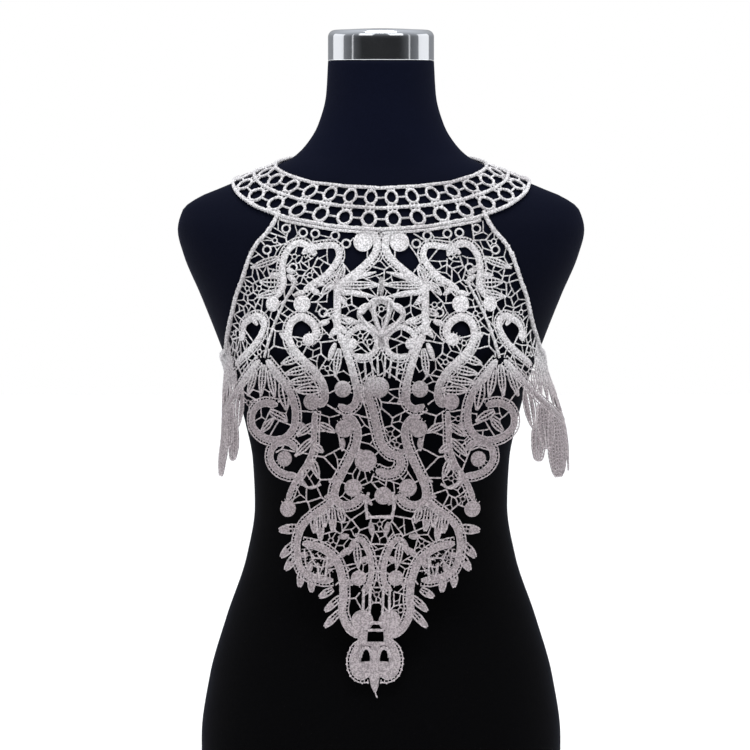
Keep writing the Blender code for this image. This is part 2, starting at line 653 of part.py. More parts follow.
def make_cap(finish, group):
    """The bright cap on the neck: a round lid with a rounded rim, sloped as the neck is."""
    rim, crown, steps = 7.0, 1.5, 24
    base, top = NECK_TOP + PIECE_GAP, NECK_TOP + CAP_HEIGHT
    profile = [(CAP_RADIUS, base), (CAP_RADIUS, base + 12)]
    for step in range(4):
        a = math.radians(30 * step)
        profile.append((CAP_RADIUS - 1 - rim * (1 - math.cos(a)), top - rim * (1 - math.sin(a))))
    profile += [(CAP_RADIUS - rim - 2, top), (CAP_RADIUS / 2, top + 0.7 * crown)]
    turns = np.linspace(0, 2 * math.pi, steps, endpoint=False)
    points = [(r * math.sin(turn), -r * math.cos(turn), z) for r, z in profile for turn in turns]
    points += [(0, 0, base), (0, 0, top + crown)]
    faces = []
    for row in range(len(profile) - 1):
        for k in range(steps):
            m = (k + 1) % steps
            faces.append([row * steps + k, row * steps + m, (row + 1) * steps + m, (row + 1) * steps + k])
    last = (len(profile) - 1) * steps
    for k in range(steps):
        m = (k + 1) % steps
        faces += [[m, k, len(points) - 2], [last + k, last + m, len(points) - 1]]
    cap = new_object("neck_cap", [Vector(p) * MM for p in lean_neck(points)], faces, finish, group)
    cap.data.shade_smooth()


def make_band(finish, group):
    """The neck band in three lengths, each with two rows of raised rings between raised cords."""
    pitch = BAND_LENGTH / BAND_RINGS
    back = (BAND_RINGS - BAND_FRONT_RINGS) // 2
    lengths = [("neck_band_back_left", 0, back), ("neck_band_front", back, BAND_RINGS - back),
               ("neck_band_back_right", BAND_RINGS - back, BAND_RINGS)]
    around = np.linspace(0, 2 * math.pi, 8, endpoint=False) + math.pi / 8
    for name, first, last in lengths:
        start, end = first * pitch + PIECE_GAP / 2, last * pitch - PIECE_GAP / 2
        holes, lines = [], []
        for k in range(first, last):
            for across in BAND_ROWS:
                x = (k + 0.5) * pitch
                holes.append(np.stack([x + RING_HOLE / 2 * np.cos(around),
                                       across + RING_HOLE / 2 * np.sin(around)], -1))
        close = np.linspace(start, end, (last - first) * 2 + 1)
        wide = close[::2]
        for cord, stops in zip(BAND_CORDS, (close, wide, wide)):
            lines.append(np.stack([stops[1:-1], np.full(len(stops) - 2, cord)], -1))
        edge = [(s, 0.0) for s in close] + [(s, BAND_WIDTH) for s in wide[::-1]]
        flat, triangles = fill_chart(np.array(edge), holes, lines, [])

        def thickness(point):
            near_cord = min(abs(point[1] - cord) for cord in BAND_CORDS) < 0.1
            near_ring = any(abs(math.hypot((point[0] / pitch - 0.5 - round(point[0] / pitch - 0.5)) * pitch,
                                           point[1] - row) - RING_HOLE / 2) < 0.2 for row in BAND_ROWS)
            return TAPE if near_cord or near_ring else GROUND

        outward = [tri[::-1] for tri in pieces_apart(triangles)[0]]
        lace_wall(name, flat, outward, wear_band, thickness, finish, group)


def make_bib(finish, group):
    """The bib, wings, point and pendant: one chart cut through and parted at its seams."""
    us = np.arange(-300.0, 301.0, GRID)
    zs = np.arange(104.0, 600.0, GRID)
    x, y = np.meshgrid(us, zs, indexing="ij")
    strokes = list_strokes()
    field = chart_field(strokes, us, zs)
    ground = inside(net_outline(), x, y)
    sites = net_sites(field, ground, x, y)
    open_ground = ground & (field > 0)
    field[open_ground] = np.minimum(field[open_ground], net_field(sites, x[open_ground], y[open_ground]))
    loops = outlines(field, us, zs)
    outer = max(loops, key=area)
    gaps = []
    for loop in loops:
        if area(loop) > -9:
            continue
        i0, i1 = np.searchsorted(us, [loop[:, 0].min(), loop[:, 0].max()])
        j0, j1 = np.searchsorted(zs, [loop[:, 1].min(), loop[:, 1].max()])
        if field[i0:i1, j0:j1].max(initial=0) * 2 > WHOLE_GAP:
            gaps.append(loop)
    gaps = sorted(gaps, key=area)[:GAPS_IN_BIB]
    holes = [fewer_round(loop, TOLERANCE) for loop in gaps]
    holes = [loop for loop in holes if len(loop) > 2]
    ridges = []
    for route, radius, raised in strokes:
        if raised and len(route) > 1:
            line = fewer(route, 1.3)
            ridges.append(line[1:-1] if len(line) > 3 else route[[1, len(route) // 2, -2]])
    strips = [strip_round(WING_SEAM, PIECE_GAP), strip_round([(-u, z) for u, z in WING_SEAM], PIECE_GAP),
              strip_round(POINT_SEAM, PIECE_GAP), strip_round(PENDANT_SEAM, PIECE_GAP)]
    under_band = [(u, z - BAND_SEAM_DROP) for u, z in band_lower_edge()]
    over = [(under_band[-1][0] + 20, 640), (under_band[0][0] - 20, 640)]
    strips.append(np.array(under_band + over))
    flat, triangles = fill_chart(fewer_round(outer, TOLERANCE), holes, ridges, strips)
    spines = [(route, radius) for route, radius, raised in strokes if raised]

    def thickness(point):
        here = np.array(point)
        for route, radius in spines:
            gap = np.linalg.norm(route - here, axis=1)
            if gap.min() < 1.7:
                return TAPE if radius[int(np.argmin(gap))] > 2.4 else 0.5 * (TAPE + GROUND)
        return GROUND

    def region(tri):
        u = sum(flat[k][0] for k in tri) / 3
        z = sum(flat[k][1] for k in tri) / 3
        if z < PENDANT_SEAM[0][1]:
            return "pendant"
        if z < POINT_SEAM[0][1]:
            return "bib_point"
        lines = sorted(WING_SEAM, key=lambda p: p[1])
        beyond = np.interp(z, [p[1] for p in lines], [p[0] for p in lines])
        if z < WING_SEAM[0][1] and z > WING_SEAM[-1][1] and abs(u) > beyond:
            return "wing_left" if u < 0 else "wing_right"
        return "bib_front"

    parts = {}
    for tri in triangles:
        parts.setdefault(region(tri), []).append(tri)
    for name, mine in sorted(parts.items()):
        biggest = pieces_apart(mine)[0]
        lace_wall(name, flat, biggest, wear, thickness, finish, group)


def main():
    for item in list(bpy.data.objects):
        bpy.data.objects.remove(item, do_unlink=True)
    group = bpy.data.collections.new("lace collar on a dress form")
    bpy.context.scene.collection.children.link(group)
    jersey = material("black jersey", (0.012, 0.012, 0.016), 0.7)
    chrome = material("chrome cap", (0.75, 0.75, 0.77), 0.12, 1.0)
    lace = material("white guipure lace", (0.78, 0.77, 0.78), 0.8)
    make_form(jersey, group)
    make_cap(chrome, group)
    make_band(lace, group)
    make_bib(lace, group)


main()
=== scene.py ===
# Guipure lace bib collar worn on a black dress form. Lengths in the tables are millimetres.
# The lace is worked flat in a chart, as on the embroidery frame, then laid on the form.
import math
import bpy
import bmesh
import numpy as np
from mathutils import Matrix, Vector
from mathutils.geometry import delaunay_2d_cdt


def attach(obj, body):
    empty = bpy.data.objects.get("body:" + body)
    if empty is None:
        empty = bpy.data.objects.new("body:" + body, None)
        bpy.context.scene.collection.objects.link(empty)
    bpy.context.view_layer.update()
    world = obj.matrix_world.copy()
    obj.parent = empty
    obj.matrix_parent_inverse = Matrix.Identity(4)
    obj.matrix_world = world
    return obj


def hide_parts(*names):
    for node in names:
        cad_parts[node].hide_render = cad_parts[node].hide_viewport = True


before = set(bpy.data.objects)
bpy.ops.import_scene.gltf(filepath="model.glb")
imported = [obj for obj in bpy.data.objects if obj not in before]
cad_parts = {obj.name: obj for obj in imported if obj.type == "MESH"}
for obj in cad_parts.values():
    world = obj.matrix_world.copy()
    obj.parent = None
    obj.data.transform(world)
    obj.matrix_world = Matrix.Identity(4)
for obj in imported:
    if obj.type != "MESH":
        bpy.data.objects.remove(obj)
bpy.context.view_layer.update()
mm = 0.001


def addObject(name, data):
    item = bpy.data.objects.new(name, data)
    bpy.context.scene.collection.objects.link(item)
    return item


camera = {"distance": 2400.0, "across": -6.0, "height": 420.0, "lens": 115.2, "sensor": 36.0}
eye = addObject("studioCamera", bpy.data.cameras.new("studioCamera"))
eye.data.lens = camera["lens"]
eye.data.sensor_width = camera["sensor"]
eye.data.clip_end = 50
eye.location = Vector((camera["across"], -camera["distance"], camera["height"])) * mm
eye.rotation_euler = (math.radians(90), 0, 0)
bpy.context.scene.camera = eye
print("camera set")

# What the lace and the form share with the solids
cloth = {"restGap": 1.2, "brideRadius": 0.68, "cell": 10.5, "grid": 1.0, "blend": 3.0, "blendReach": 8.0,
         "sweep": 150.0, "sweepSteps": 251}
cap = {"radius": 53.0, "height": 31.0, "neckTop": 734.0, "seam": 0.3, "rim": 7.0}
band = {"width": 51.0, "rings": 30, "rows": (13.2, 38.0), "cords": (2.0, 25.6, 49.0), "steps": 46,
        "fall": 62.0, "frontTurn": 62.0}
neck = {"lean": 0.12, "leanFrom": 640.0}
# The form's level sections: height, half width, front depth, back depth, roundness power
formTable = np.array([
    [0, 177, 106, 110, 2.4], [60, 179, 108, 112, 2.4], [120, 171, 106, 111, 2.4], [180, 154, 100, 106, 2.4],
    [240, 134, 92, 95, 2.3], [290, 126, 88, 85, 2.3], [335, 128, 91, 84, 2.3], [375, 136, 97, 87, 2.3],
    [415, 147, 104, 91, 2.4], [450, 160, 108, 96, 2.4], [500, 180, 103, 103, 2.4], [540, 197, 93, 104, 2.4],
    [565, 203, 84, 99, 2.4], [585, 198, 73, 92, 2.3], [597, 183, 66, 85, 2.2], [606, 162, 61, 79, 2.15],
    [616, 138, 58, 73, 2.1], [626, 112, 56, 67, 2.05], [636, 90, 55, 62, 2.0], [650, 75, 54, 58, 2.0],
    [670, 63, 53, 55, 2.0], [700, 55, 52, 54, 2.0], [734, 53, 53, 53, 2.0]], float)
bust = {"turn": 33.0, "height": 436.0, "rise": 24.0, "spread": 21.0, "above": 46.0, "below": 34.0}
# The hanging cloth's level sections: height, left half, right half, front, back, roundness power
drapeTable = np.array([
    [60, 150, 150, 108, 100, 2.4], [110, 150, 150, 111, 100, 2.4], [200, 154, 158, 116, 100, 2.5],
    [250, 156, 164, 120, 104, 2.6], [300, 159, 178, 124, 110, 2.7], [330, 160, 186, 127, 112, 2.8],
    [365, 157, 183, 130, 112, 2.9], [400, 156, 173, 132, 112, 3.0], [425, 154, 164, 132, 110, 3.0],
    [445, 152, 158, 130, 106, 3.0], [480, 150, 154, 118, 100, 2.7], [520, 150, 152, 100, 90, 2.5],
    [620, 100, 100, 40, 50, 2.3]], float)
# How far the hanging point leans to one side: height, shift
lean = np.array([[110, -7], [210, -4.5], [300, -1], [350, 0], [700, 0]], float)
# Height of the neck band's inner edge by degrees round from the centre front
bandEdge = np.array([[0, 602], [30, 604], [50, 608], [62, 615], [78, 627], [95, 636], [120, 642],
                     [180, 646]], float)

# Places are (out, up): distance out from the centre line and height, as seen from the front.
# The scrolls: tape width, route, then the bulbs at the curls as (out, up, radius)
scrolls = [
    (7.5, [(20, 564), (8, 561), (4, 551), (7, 540), (15, 531), (28, 520), (44, 508)], [(18, 553, 10)]),
    (7.0, [(79, 541), (73, 547), (80, 552), (89, 549), (96, 540), (99, 526), (98, 510), (105, 497)],
     [(108, 491, 8)]),
    (6.5, [(66, 539), (70, 546), (58, 549), (46, 549), (42, 541), (45, 532), (56, 519), (70, 510),
           (78, 502)],
     [(79, 491, 9)]),
    (7.0, [(139, 459), (138, 469), (131, 476), (123, 479), (117, 473), (120, 461), (130, 447), (148, 430)],
     [(139, 459, 6)]),
    (8.0, [(72, 455), (65, 462), (69, 472), (80, 478), (90, 472), (93, 459), (88, 446), (78, 435), (66, 423),
           (58, 409), (57, 396), (63, 388)], [(69, 393, 8.5), (72, 455, 6.5)]),
    (7.5, [(43, 462), (38, 452), (32, 435), (27, 417), (24, 402), (27, 390), (35, 386), (43, 390)],
     [(38, 406, 8.5)]),
    (6.0, [(38, 450), (31, 462), (20, 468), (9, 463), (4, 453), (8, 442), (18, 438), (29, 440)],
     [(30, 451, 6)]),
    (7.5, [(115, 435), (107, 425), (98, 413), (90, 399), (86, 383), (88, 367), (97, 357), (109, 355),
           (121, 359), (130, 368), (131, 379), (126, 388), (116, 392), (104, 390)], []),
    (7.0, [(84, 345), (92, 352), (102, 353), (110, 346), (111, 335), (104, 325), (93, 320), (84, 320)],
     [(97, 336, 8)]),
    (8.0, [(39, 378), (30, 376), (24, 366), (25, 352), (31, 337), (39, 321), (45, 307), (45, 296), (37, 290),
           (26, 292), (18, 301)], [(37, 367, 9), (27, 307, 9)]),
    (6.0, [(66, 384), (67, 370), (68, 347), (74, 331), (80, 322), (88, 308), (93, 294)], [(92, 287, 8.5)]),
    (7.0, [(46, 295), (56, 287), (66, 280), (76, 270), (81, 256), (81, 243), (78, 229), (70, 220), (56, 215),
           (44, 215)], []),
    (6.0, [(24, 256), (16, 254), (9, 241), (6, 226), (8, 211), (15, 204)], [(18, 217, 8)]),
    (8.0, [(76, 252), (57, 247), (42, 235), (35, 217), (33, 198), (34, 183), (27, 167), (15, 158)],
     [(14, 174, 11)]),
    (8.0, [(12, 150.5), (18, 146), (21.5, 136), (20, 125), (14, 119), (7, 119)], []),
]
# The long leaves and petals: root, tip, width
leaves = [
    ((102, 537), (130, 527), 7), ((99, 512), (121, 513), 10), ((99, 503), (124, 498), 7),
    ((40, 514), (5, 523), 6), ((42, 509), (2, 510), 7), ((40, 504), (5, 498), 6),
    ((48, 512), (60, 500), 7), ((52, 474), (64, 470), 6), ((37, 477), (22, 471), 6),
    ((46, 452), (53, 434), 6), ((42, 446), (46, 418), 7),
    ((82, 438), (100, 431), 8), ((72, 427), (96, 421), 8), ((66, 416), (94, 412), 8),
    ((60, 405), (86, 404), 8),
    ((118, 430), (121, 399), 8), ((112, 425), (107, 398), 8), ((126, 425), (135, 399), 8),
    ((100, 412), (95, 385), 10), ((112, 384), (94, 374), 8), ((120, 364), (108, 377), 7),
    ((68, 371), (84, 359), 7), ((69, 356), (86, 339), 7), ((62, 371), (46, 363), 7),
    ((69, 336), (62, 317), 7),
    ((39, 357), (39, 344), 6), ((60, 279), (58, 255), 7), ((48, 287), (46, 264), 7),
    ((9, 273), (6, 258), 6), ((22, 252), (19, 227), 7), ((30, 259), (41, 258), 6), ((29, 247), (41, 236), 6),
    ((80, 267), (100, 265), 9), ((84, 252), (97, 238), 8), ((82, 240), (92, 225), 8),
    ((76, 224), (77, 208), 7),
    ((66, 219), (65, 203), 7), ((44, 206), (57, 198), 7), ((36, 198), (51, 184), 7),
    ((36, 184), (51, 168), 7),
]
# Plain cords: width, route
cords = [
    (2.6, [(86, 512), (95, 495), (105, 474), (113, 451), (117, 437)]),
    (7.5, [(44, 510), (44, 485), (44, 460)]),
    (4.0, [(0, 496), (8, 494), (14, 487), (22, 480)]),
    (3.0, [(22, 480), (12, 467), (0, 459)]),
    (3.0, [(0, 460), (6, 476), (8, 493)]),
    (2.4, [(78, 325), (78, 313), (70, 307), (60, 311)]),
    (2.6, [(13, 206), (13, 183)]), (2.6, [(6.5, 208), (6.5, 180)]),
    (3.0, [(12, 303), (14, 290), (12, 276)]),
    (2.6, [(0, 278), (12, 278)]), (2.6, [(0, 172), (8, 172)]), (2.6, [(0, 165), (8, 165)]),
    (4.5, [(0, 151), (20, 151)]),
    (2.0, [(4, 438), (3, 419)]), (2.0, [(10, 437), (8, 417)]), (2.0, [(17, 436), (15, 415)]),
    (2.2, [(60, 232), (58, 217)]), (2.2, [(50, 240), (52, 215)]),
    (3.2, [(3.4, 138), (4.6, 144), (9, 147.6), (13.4, 144), (14.6, 138)]),
    (4.8, [(16, 147), (16.5, 138), (16, 128)]),
    (5.8, [(4, 131), (17, 130)]), (5.8, [(4, 126), (17, 125)]), (5.8, [(4, 120.5), (14, 120.5)]),
]
# The pendant's spine: place and half width
pendantSpine = [(0, 151, 4.8), (0, 135, 4.8), (0, 118, 5.2), (0.5, 108, 3.4), (1, 103, 1.2)]
# Small leaves that crowd the stems, over the solids' own forms: root, tip, width
sprigs = [
    ((44, 512), (37, 529), 7), ((44, 511), (53, 524), 7), ((44, 506), (32, 500), 6),
    ((45, 500), (34, 490), 6), ((45, 484), (57, 480), 7), ((43, 479), (31, 471), 7),
    ((43, 470), (34, 461), 6), ((44, 468), (52, 457), 6), ((44, 508), (56, 508), 6),
    ((0, 518), (0, 497), 6), ((94, 520), (84, 512), 6), ((95, 526), (86, 522), 6),
    ((100, 520), (112, 520), 6),
    ((72, 508), (62, 500), 6), ((76, 503), (88, 500), 6), ((66, 513), (56, 510), 6),
    ((93, 455), (102, 462), 6), ((124, 470), (134, 482), 6),
    ((37, 448), (27, 442), 6), ((26, 400), (16, 392), 6),
    ((84, 372), (74, 366), 6), ((68, 350), (58, 343), 7), ((74, 333), (66, 324), 6),
    ((84, 316), (74, 309), 6), ((26, 345), (15, 340), 6), ((40, 318), (52, 313), 6),
    ((44, 300), (56, 298), 6),
    ((18, 300), (8, 290), 6), ((40, 288), (36, 272), 7), ((56, 287), (54, 268), 7),
    ((66, 280), (64, 262), 7),
    ((24, 256), (30, 240), 6), ((9, 238), (20, 232), 6), ((42, 236), (50, 228), 6),
    ((36, 216), (24, 210), 6), ((70, 222), (66, 232), 6), ((78, 240), (70, 240), 6),
]
# The shell's three petals: closed routes and widths
petals = [
    ([(0, 459), (4, 470), (7.5, 481), (6.5, 490), (0, 494)], 4.4),
    ([(1, 459), (8, 466), (16, 471), (22, 478), (21, 486), (14, 490), (9, 484), (5, 474), (1, 462)], 4.2),
    ([(0, 455), (0, 449)], 9.0),
]
crescents = [[(74, 246), (71.5, 230), (66, 222), (54, 219.5), (46, 225)],
             [(68, 244), (64, 233), (57, 228), (48, 231)],
             [(61, 242), (56, 236), (49, 237)]]
groundRings = [(78, 562), (46, 559), (114, 545), (95, 566), (88, 527), (35, 551), (58, 482), (66, 561)]
ring = {"radius": 3.6, "width": 2.4}
# The one middle scroll is not mirrored: its places are (across, up)
middleScroll = (8.5, [(-5, 418), (-13, 411), (-13, 399), (-9, 387), (-5, 370), (0, 352), (8, 342), (17, 339),
                      (20, 331), (15, 323), (5, 321), (-5, 325)])
middleBulbs = [(-3, 408, 10.5), (-15, 334, 11), (3, 300, 9)]
# Open windows in the ground, each one clear gap: out, up, clear radius
windows = [(27, 533, 12), (52, 445, 8), (52, 350, 13), (104, 500, 8), (128, 462, 9), (103, 440, 9),
           (12, 385, 9), (75, 392, 8), (56, 325, 10), (27, 285, 10), (62, 245, 8), (112, 372, 7),
           (30, 355, 6), (9.5, 139, 6), (24, 495, 7), (100, 455, 8), (80, 463, 6), (12, 195, 6)]
armhole = [(102, 583), (106, 574), (113, 563), (123, 552), (130, 540), (135, 526), (139, 513), (144, 499),
           (147, 485), (150, 470), (153, 456), (155, 445)]
# The wings' own chart, as (round, up): distance round the cloth from the centre line, and height
wingEdge = [(186, 445), (210, 441), (238, 434), (262, 423), (278, 407), (282, 390)]
wingBranch = [(120, 434), (135, 421), (150, 407), (168, 394), (190, 384), (215, 378), (245, 377), (270, 382),
              (282, 390)]
wingLobes = [((168, 392), (169, 350), 26), ((157, 372), (157, 338), 18), ((190, 384), (191, 322), 42),
             ((235, 378), (237, 327), 42), ((271, 384), (272, 345), 26)]
wingLeaves = [((145, 409), (151, 368), 16), ((158, 424), (157, 406), 9), ((169, 438), (166, 402), 10),
              ((179, 452), (177, 396), 12), ((191, 444), (190, 391), 12), ((204, 441), (204, 387), 12),
              ((218, 438), (218, 384), 12), ((233, 434), (233, 384), 12), ((248, 428), (248, 384), 12),
              ((263, 421), (263, 386), 12)]
# Down the front hem, from the wing to the pendant: the net ends here
frontHem = [(134, 380), (131, 368), (121, 360), (105, 356), (108, 346), (104, 328), (92, 321), (80, 322),
            (88, 300), (90, 288), (76, 275), (80, 262), (80, 243), (77, 229), (70, 221), (44, 215),
            (35, 197), (33, 182), (27, 166), (14, 158)]
# Where one length of the lace ends and the next begins, as (round, up)
wingSeam = [(178, 470), (128, 372), (118, 345)]
pointSeam = 284.0


# The worn surface, from the same sections and rules as the solids
def between(table, height):
    height = np.asarray(height, float)
    rows = table[:, 0]
    step = np.diff(rows)
    i = np.clip(np.searchsorted(rows, height) - 1, 0, len(rows) - 2)
    t = np.clip((height - rows[i]) / step[i], 0, 1)
    columns = []
    for values in table.T[1:]:
        rise = np.diff(values) / step
        slope = np.concatenate([rise[:1], np.zeros(len(rows) - 2), rise[-1:]])
        same = rise[:-1] * rise[1:] > 0
        slope[1:-1][same] = (2 * rise[:-1] * rise[1:])[same] / (rise[:-1] + rise[1:])[same]
        columns.append(values[i] * (2 * t**3 - 3 * t**2 + 1) + slope[i] * step[i] * (t**3 - 2 * t**2 + t)
                       + values[i + 1] * (3 * t**2 - 2 * t**3) + slope[i + 1] * step[i] * (t**3 - t**2))
    return columns


def oval(turn, half, front, back, power):
    depth = np.where(np.abs(turn) <= math.pi / 2, front, back)
    return (np.abs(np.sin(turn) / half)**power + np.abs(np.cos(turn) / depth)**power)**(-1 / power)


def formRadius(turn, height):
    radius = oval(turn, *between(formTable, height))
    reach = np.where(height > bust["height"], bust["above"], bust["below"])
    for side in (-1, 1):
        aside = (turn - side * math.radians(bust["turn"])) / math.radians(bust["spread"])
        radius = radius + bust["rise"] * np.exp(-aside**2 - ((height - bust["height"]) / reach)**2)
    return radius


def wornRadius(turn, height, even=False):
    left, right, front, back, power = between(drapeTable, height)
    half = (left + right) / 2 if even else np.where(turn < 0, left, right)
    hang = oval(turn, half, front, back, power)
    lie = formRadius(turn, height) + cloth["restGap"]
    soft = cloth["blend"] * np.exp(-((hang - lie) / cloth["blendReach"])**2)
    return 0.5 * (hang + lie + np.sqrt((hang - lie)**2 + soft**2))


def onTurn(turn, radius, height):
    return np.stack([radius * np.sin(turn), -radius * np.cos(turn), height + 0 * turn], -1)


def leanNeck(points):
    points = np.array(points, float)
    share = np.clip((points[:, 2] - neck["leanFrom"]) / (cap["neckTop"] - neck["leanFrom"]), 0, 1)
    points[:, 2] += neck["lean"] * share * points[:, 1]
    return points


sweep = np.linspace(0, math.radians(cloth["sweep"]), cloth["sweepSteps"])


def wornSection(side, height, even=False):
    turn = side * sweep
    points = onTurn(turn, wornRadius(turn, np.full(turn.shape, float(height)), even), height)
    run = np.linalg.norm(np.diff(points, axis=0), axis=1)
    return points, np.concatenate([[0], np.cumsum(run)])


def chartPlace(out, up):
    height = up
    for _ in range(6):          # it settles in a few rounds
        points, run = wornSection(1, height, even=True)
        nearer = camera["distance"] / (camera["distance"] + points[:, 1])
        across = points[:, 0] * nearer
        widest = int(np.argmax(across))
        u = np.interp(abs(out), across[:widest + 1], run[:widest + 1])
        k = np.interp(abs(out), across[:widest + 1], nearer[:widest + 1])
        height = camera["height"] + (up - camera["height"]) / k
    return (math.copysign(u, out), float(height))


def gridNormals(grid, flip=1.0):
    normals = np.cross(np.gradient(grid, axis=0), np.gradient(grid, axis=1)) * flip
    return normals / np.maximum(np.linalg.norm(normals, axis=-1, keepdims=True), 1e-12)


def readGrid(grid, i, j):
    i = np.clip(i, 0, grid.shape[0] - 1.001)
    j = np.clip(j, 0, grid.shape[1] - 1.001)
    a, b = i.astype(int), j.astype(int)
    x, y = (i - a)[:, None], (j - b)[:, None]
    return ((grid[a, b] * (1 - x) + grid[a + 1, b] * x) * (1 - y)
            + (grid[a, b + 1] * (1 - x) + grid[a + 1, b + 1] * x) * y)


chartSpan = {"reach": 300.0, "low": 90.0, "high": 616.0, "step": 2.0}
rounds = np.arange(-chartSpan["reach"], chartSpan["reach"] + 1, chartSpan["step"])
levels = np.arange(chartSpan["low"], chartSpan["high"] + 1, chartSpan["step"])
bibGrid = np.empty((len(rounds), len(levels), 3))
for j, level in enumerate(levels):
    for side in (-1, 1):
        points, run = wornSection(side, level)
        mine = rounds < 0 if side < 0 else rounds >= 0
        bibGrid[mine, j] = np.stack([np.interp(abs(rounds[mine]), run, points[:, k]) for k in range(3)], -1)
    bibGrid[:, j, 0] += np.interp(level, *lean.T)
bibNormals = gridNormals(bibGrid)


def wearBib(points):
    i = (points[:, 0] + chartSpan["reach"]) / chartSpan["step"]
    j = (points[:, 1] - chartSpan["low"]) / chartSpan["step"]
    return (readGrid(bibGrid, i, j) + readGrid(bibNormals, i, j) * points[:, 2:]) * mm


def bandStrip(turn):
    start = np.interp(abs(math.degrees(turn)), *bandEdge.T)
    heights = start - np.arange(0, band["fall"], 0.5)
    points = onTurn(np.full(heights.shape, turn), formRadius(turn, heights), heights)
    run = np.concatenate([[0], np.cumsum(np.linalg.norm(np.diff(points, axis=0), axis=1))])
    widths = np.linspace(0, band["width"], band["steps"] + 1)
    return np.stack([np.interp(widths, run, points[:, axis]) for axis in range(3)], -1)


bandTurns = np.linspace(-math.pi, math.pi, 361)
bandGrid = np.array([bandStrip(turn) for turn in bandTurns])
bandRun = np.concatenate([[0], np.cumsum(np.linalg.norm(np.diff(bandGrid[:, band["steps"] // 2], axis=0),
                                                        axis=1))])
bandLength = bandRun[-1]
bandNormals = gridNormals(bandGrid, -1.0)


def wearBand(points):
    i = np.interp(points[:, 0] % bandLength, bandRun, np.arange(len(bandRun)))
    j = -points[:, 1] / band["width"] * (bandGrid.shape[1] - 1)
    lift = points[:, 2:] + cloth["restGap"]
    return (readGrid(bandGrid, i, j) + readGrid(bandNormals, i, j) * lift) * mm


print("worn surface charted, neck band", round(bandLength), "mm round")


# Node trees
def linear(hexColour):
    parts = [int(hexColour[k:k + 2], 16) / 255 for k in (1, 3, 5)]
    return tuple(c / 12.92 if c <= 0.04045 else ((c + 0.055) / 1.055)**2.4 for c in parts) + (1.0,)


def addNode(tree, kind, settings=None, links=None):
    node = tree.nodes.new(kind)
    for name, value in (settings or {}).items():
        if isinstance(name, str) and name[0].islower():
            setattr(node, name, value)
        else:
            node.inputs[name].default_value = value
    for name, source in (links or {}).items():
        tree.links.new(source, node.inputs[name])
    return node


def newMaterial(name):
    material = bpy.data.materials.new(name)
    material.use_nodes = True
    return material, material.node_tree, material.node_tree.nodes["Principled BSDF"]


# Cotton guipure, satin stitched by machine: matt, soft, faintly warm to mauve, with fine thread ridges
# across each tape. The real thread is 0.35 mm, too fine to show, so its ridges are drawn 1.2 mm apart.
# The height ramps paint light and shade: the lace is drawn brightest high on the chest, where the light
# falls, and darker below the bust, where the bust shades it and the light falls off down the body
laceLook = {"tapeShaded": [(0.12, "#c2b8bb"), (0.3, "#aca1a4"), (0.4, "#958b8e")],
            "cordShaded": [(0.12, "#d4cbce"), (0.3, "#c6bcbf"), (0.4, "#beb4b7")],
            "upperLit": [(0.436, "#dedbdd"), (0.56, "#eceaec"), (0.62, "#f6f4f6")],
            "wide": (1.3, 2.2), "shade": "#a89ca1", "threadPitch": 1.2, "ridge": 0.35,
            "mottle": 26.0, "grain": 620.0, "fibre": 900.0}
guipure, tree, shader = newMaterial("cottonGuipureSatinStitch")
place = addNode(tree, "ShaderNodeTexCoord").outputs["Object"]
up = addNode(tree, "ShaderNodeSeparateXYZ", links={"Vector": place}).outputs["Z"]


def paintedShadeByHeight(stops):          # painted shade and light: the lace is drawn darker and greyer lower down, most sharply under the bust, and lightest at the top, where the light falls: height in metres, colour
    ramp = addNode(tree, "ShaderNodeValToRGB", links={"Fac": up})
    elements = ramp.color_ramp.elements
    for order, (height, tint) in enumerate(stops + laceLook["upperLit"]):
        stop = elements[order] if order < 2 else elements.new(height)
        stop.position, stop.color = height, linear(tint)
    return ramp.outputs["Color"]


strokeHalf = addNode(tree, "ShaderNodeAttribute", {"attribute_name": "half"}).outputs["Fac"]
# The same thread is drawn darker in the wide satin tapes than in the thin cords: painted shade on the tape
# faces, leaving their corded edges lighter
isTape = addNode(tree, "ShaderNodeMapRange", {"From Min": laceLook["wide"][0],
                                              "From Max": laceLook["wide"][1]},
                 {"Value": strokeHalf})
shadedTone = addNode(tree, "ShaderNodeMix", {"data_type": "RGBA"}, {"Factor": isTape.outputs["Result"],
                                                            6: paintedShadeByHeight(laceLook["cordShaded"]),
                                                            7: paintedShadeByHeight(laceLook["tapeShaded"])})
mottle = addNode(tree, "ShaderNodeTexNoise", {"Scale": laceLook["mottle"], "Detail": 3.0}, {"Vector": place})
grain = addNode(tree, "ShaderNodeTexNoise", {"Scale": laceLook["grain"], "Detail": 1.0}, {"Vector": place})
grainRange = addNode(tree, "ShaderNodeMapRange", {"From Min": 0.42, "From Max": 0.58, "To Min": 0.54,
                                                  "To Max": 1.0},
                     {"Value": grain.outputs["Fac"]})
mottleRange = addNode(tree, "ShaderNodeMapRange", {"From Min": 0.45, "From Max": 0.75, "To Max": 0.45},
                      {"Value": mottle.outputs["Fac"]})
tone = addNode(tree, "ShaderNodeMix", {"data_type": "RGBA", 7: linear(laceLook["shade"])},
               {6: shadedTone.outputs[2], "Factor": mottleRange.outputs["Result"]})
along = addNode(tree, "ShaderNodeAttribute", {"attribute_name": "along"}).outputs["Fac"]
ridges = addNode(tree, "ShaderNodeMath", {"operation": "MULTIPLY", 1: 2 * math.pi / laceLook["threadPitch"]},
                 {0: along})
ridgeWave = addNode(tree, "ShaderNodeMath", {"operation": "SINE"}, {0: ridges.outputs[0]})
fibre = addNode(tree, "ShaderNodeTexNoise", {"Scale": laceLook["fibre"], "Detail": 2.0}, {"Vector": place})
relief = addNode(tree, "ShaderNodeMath", {"operation": "ADD"}, {0: ridgeWave.outputs[0],
                                                                1: fibre.outputs["Fac"]})
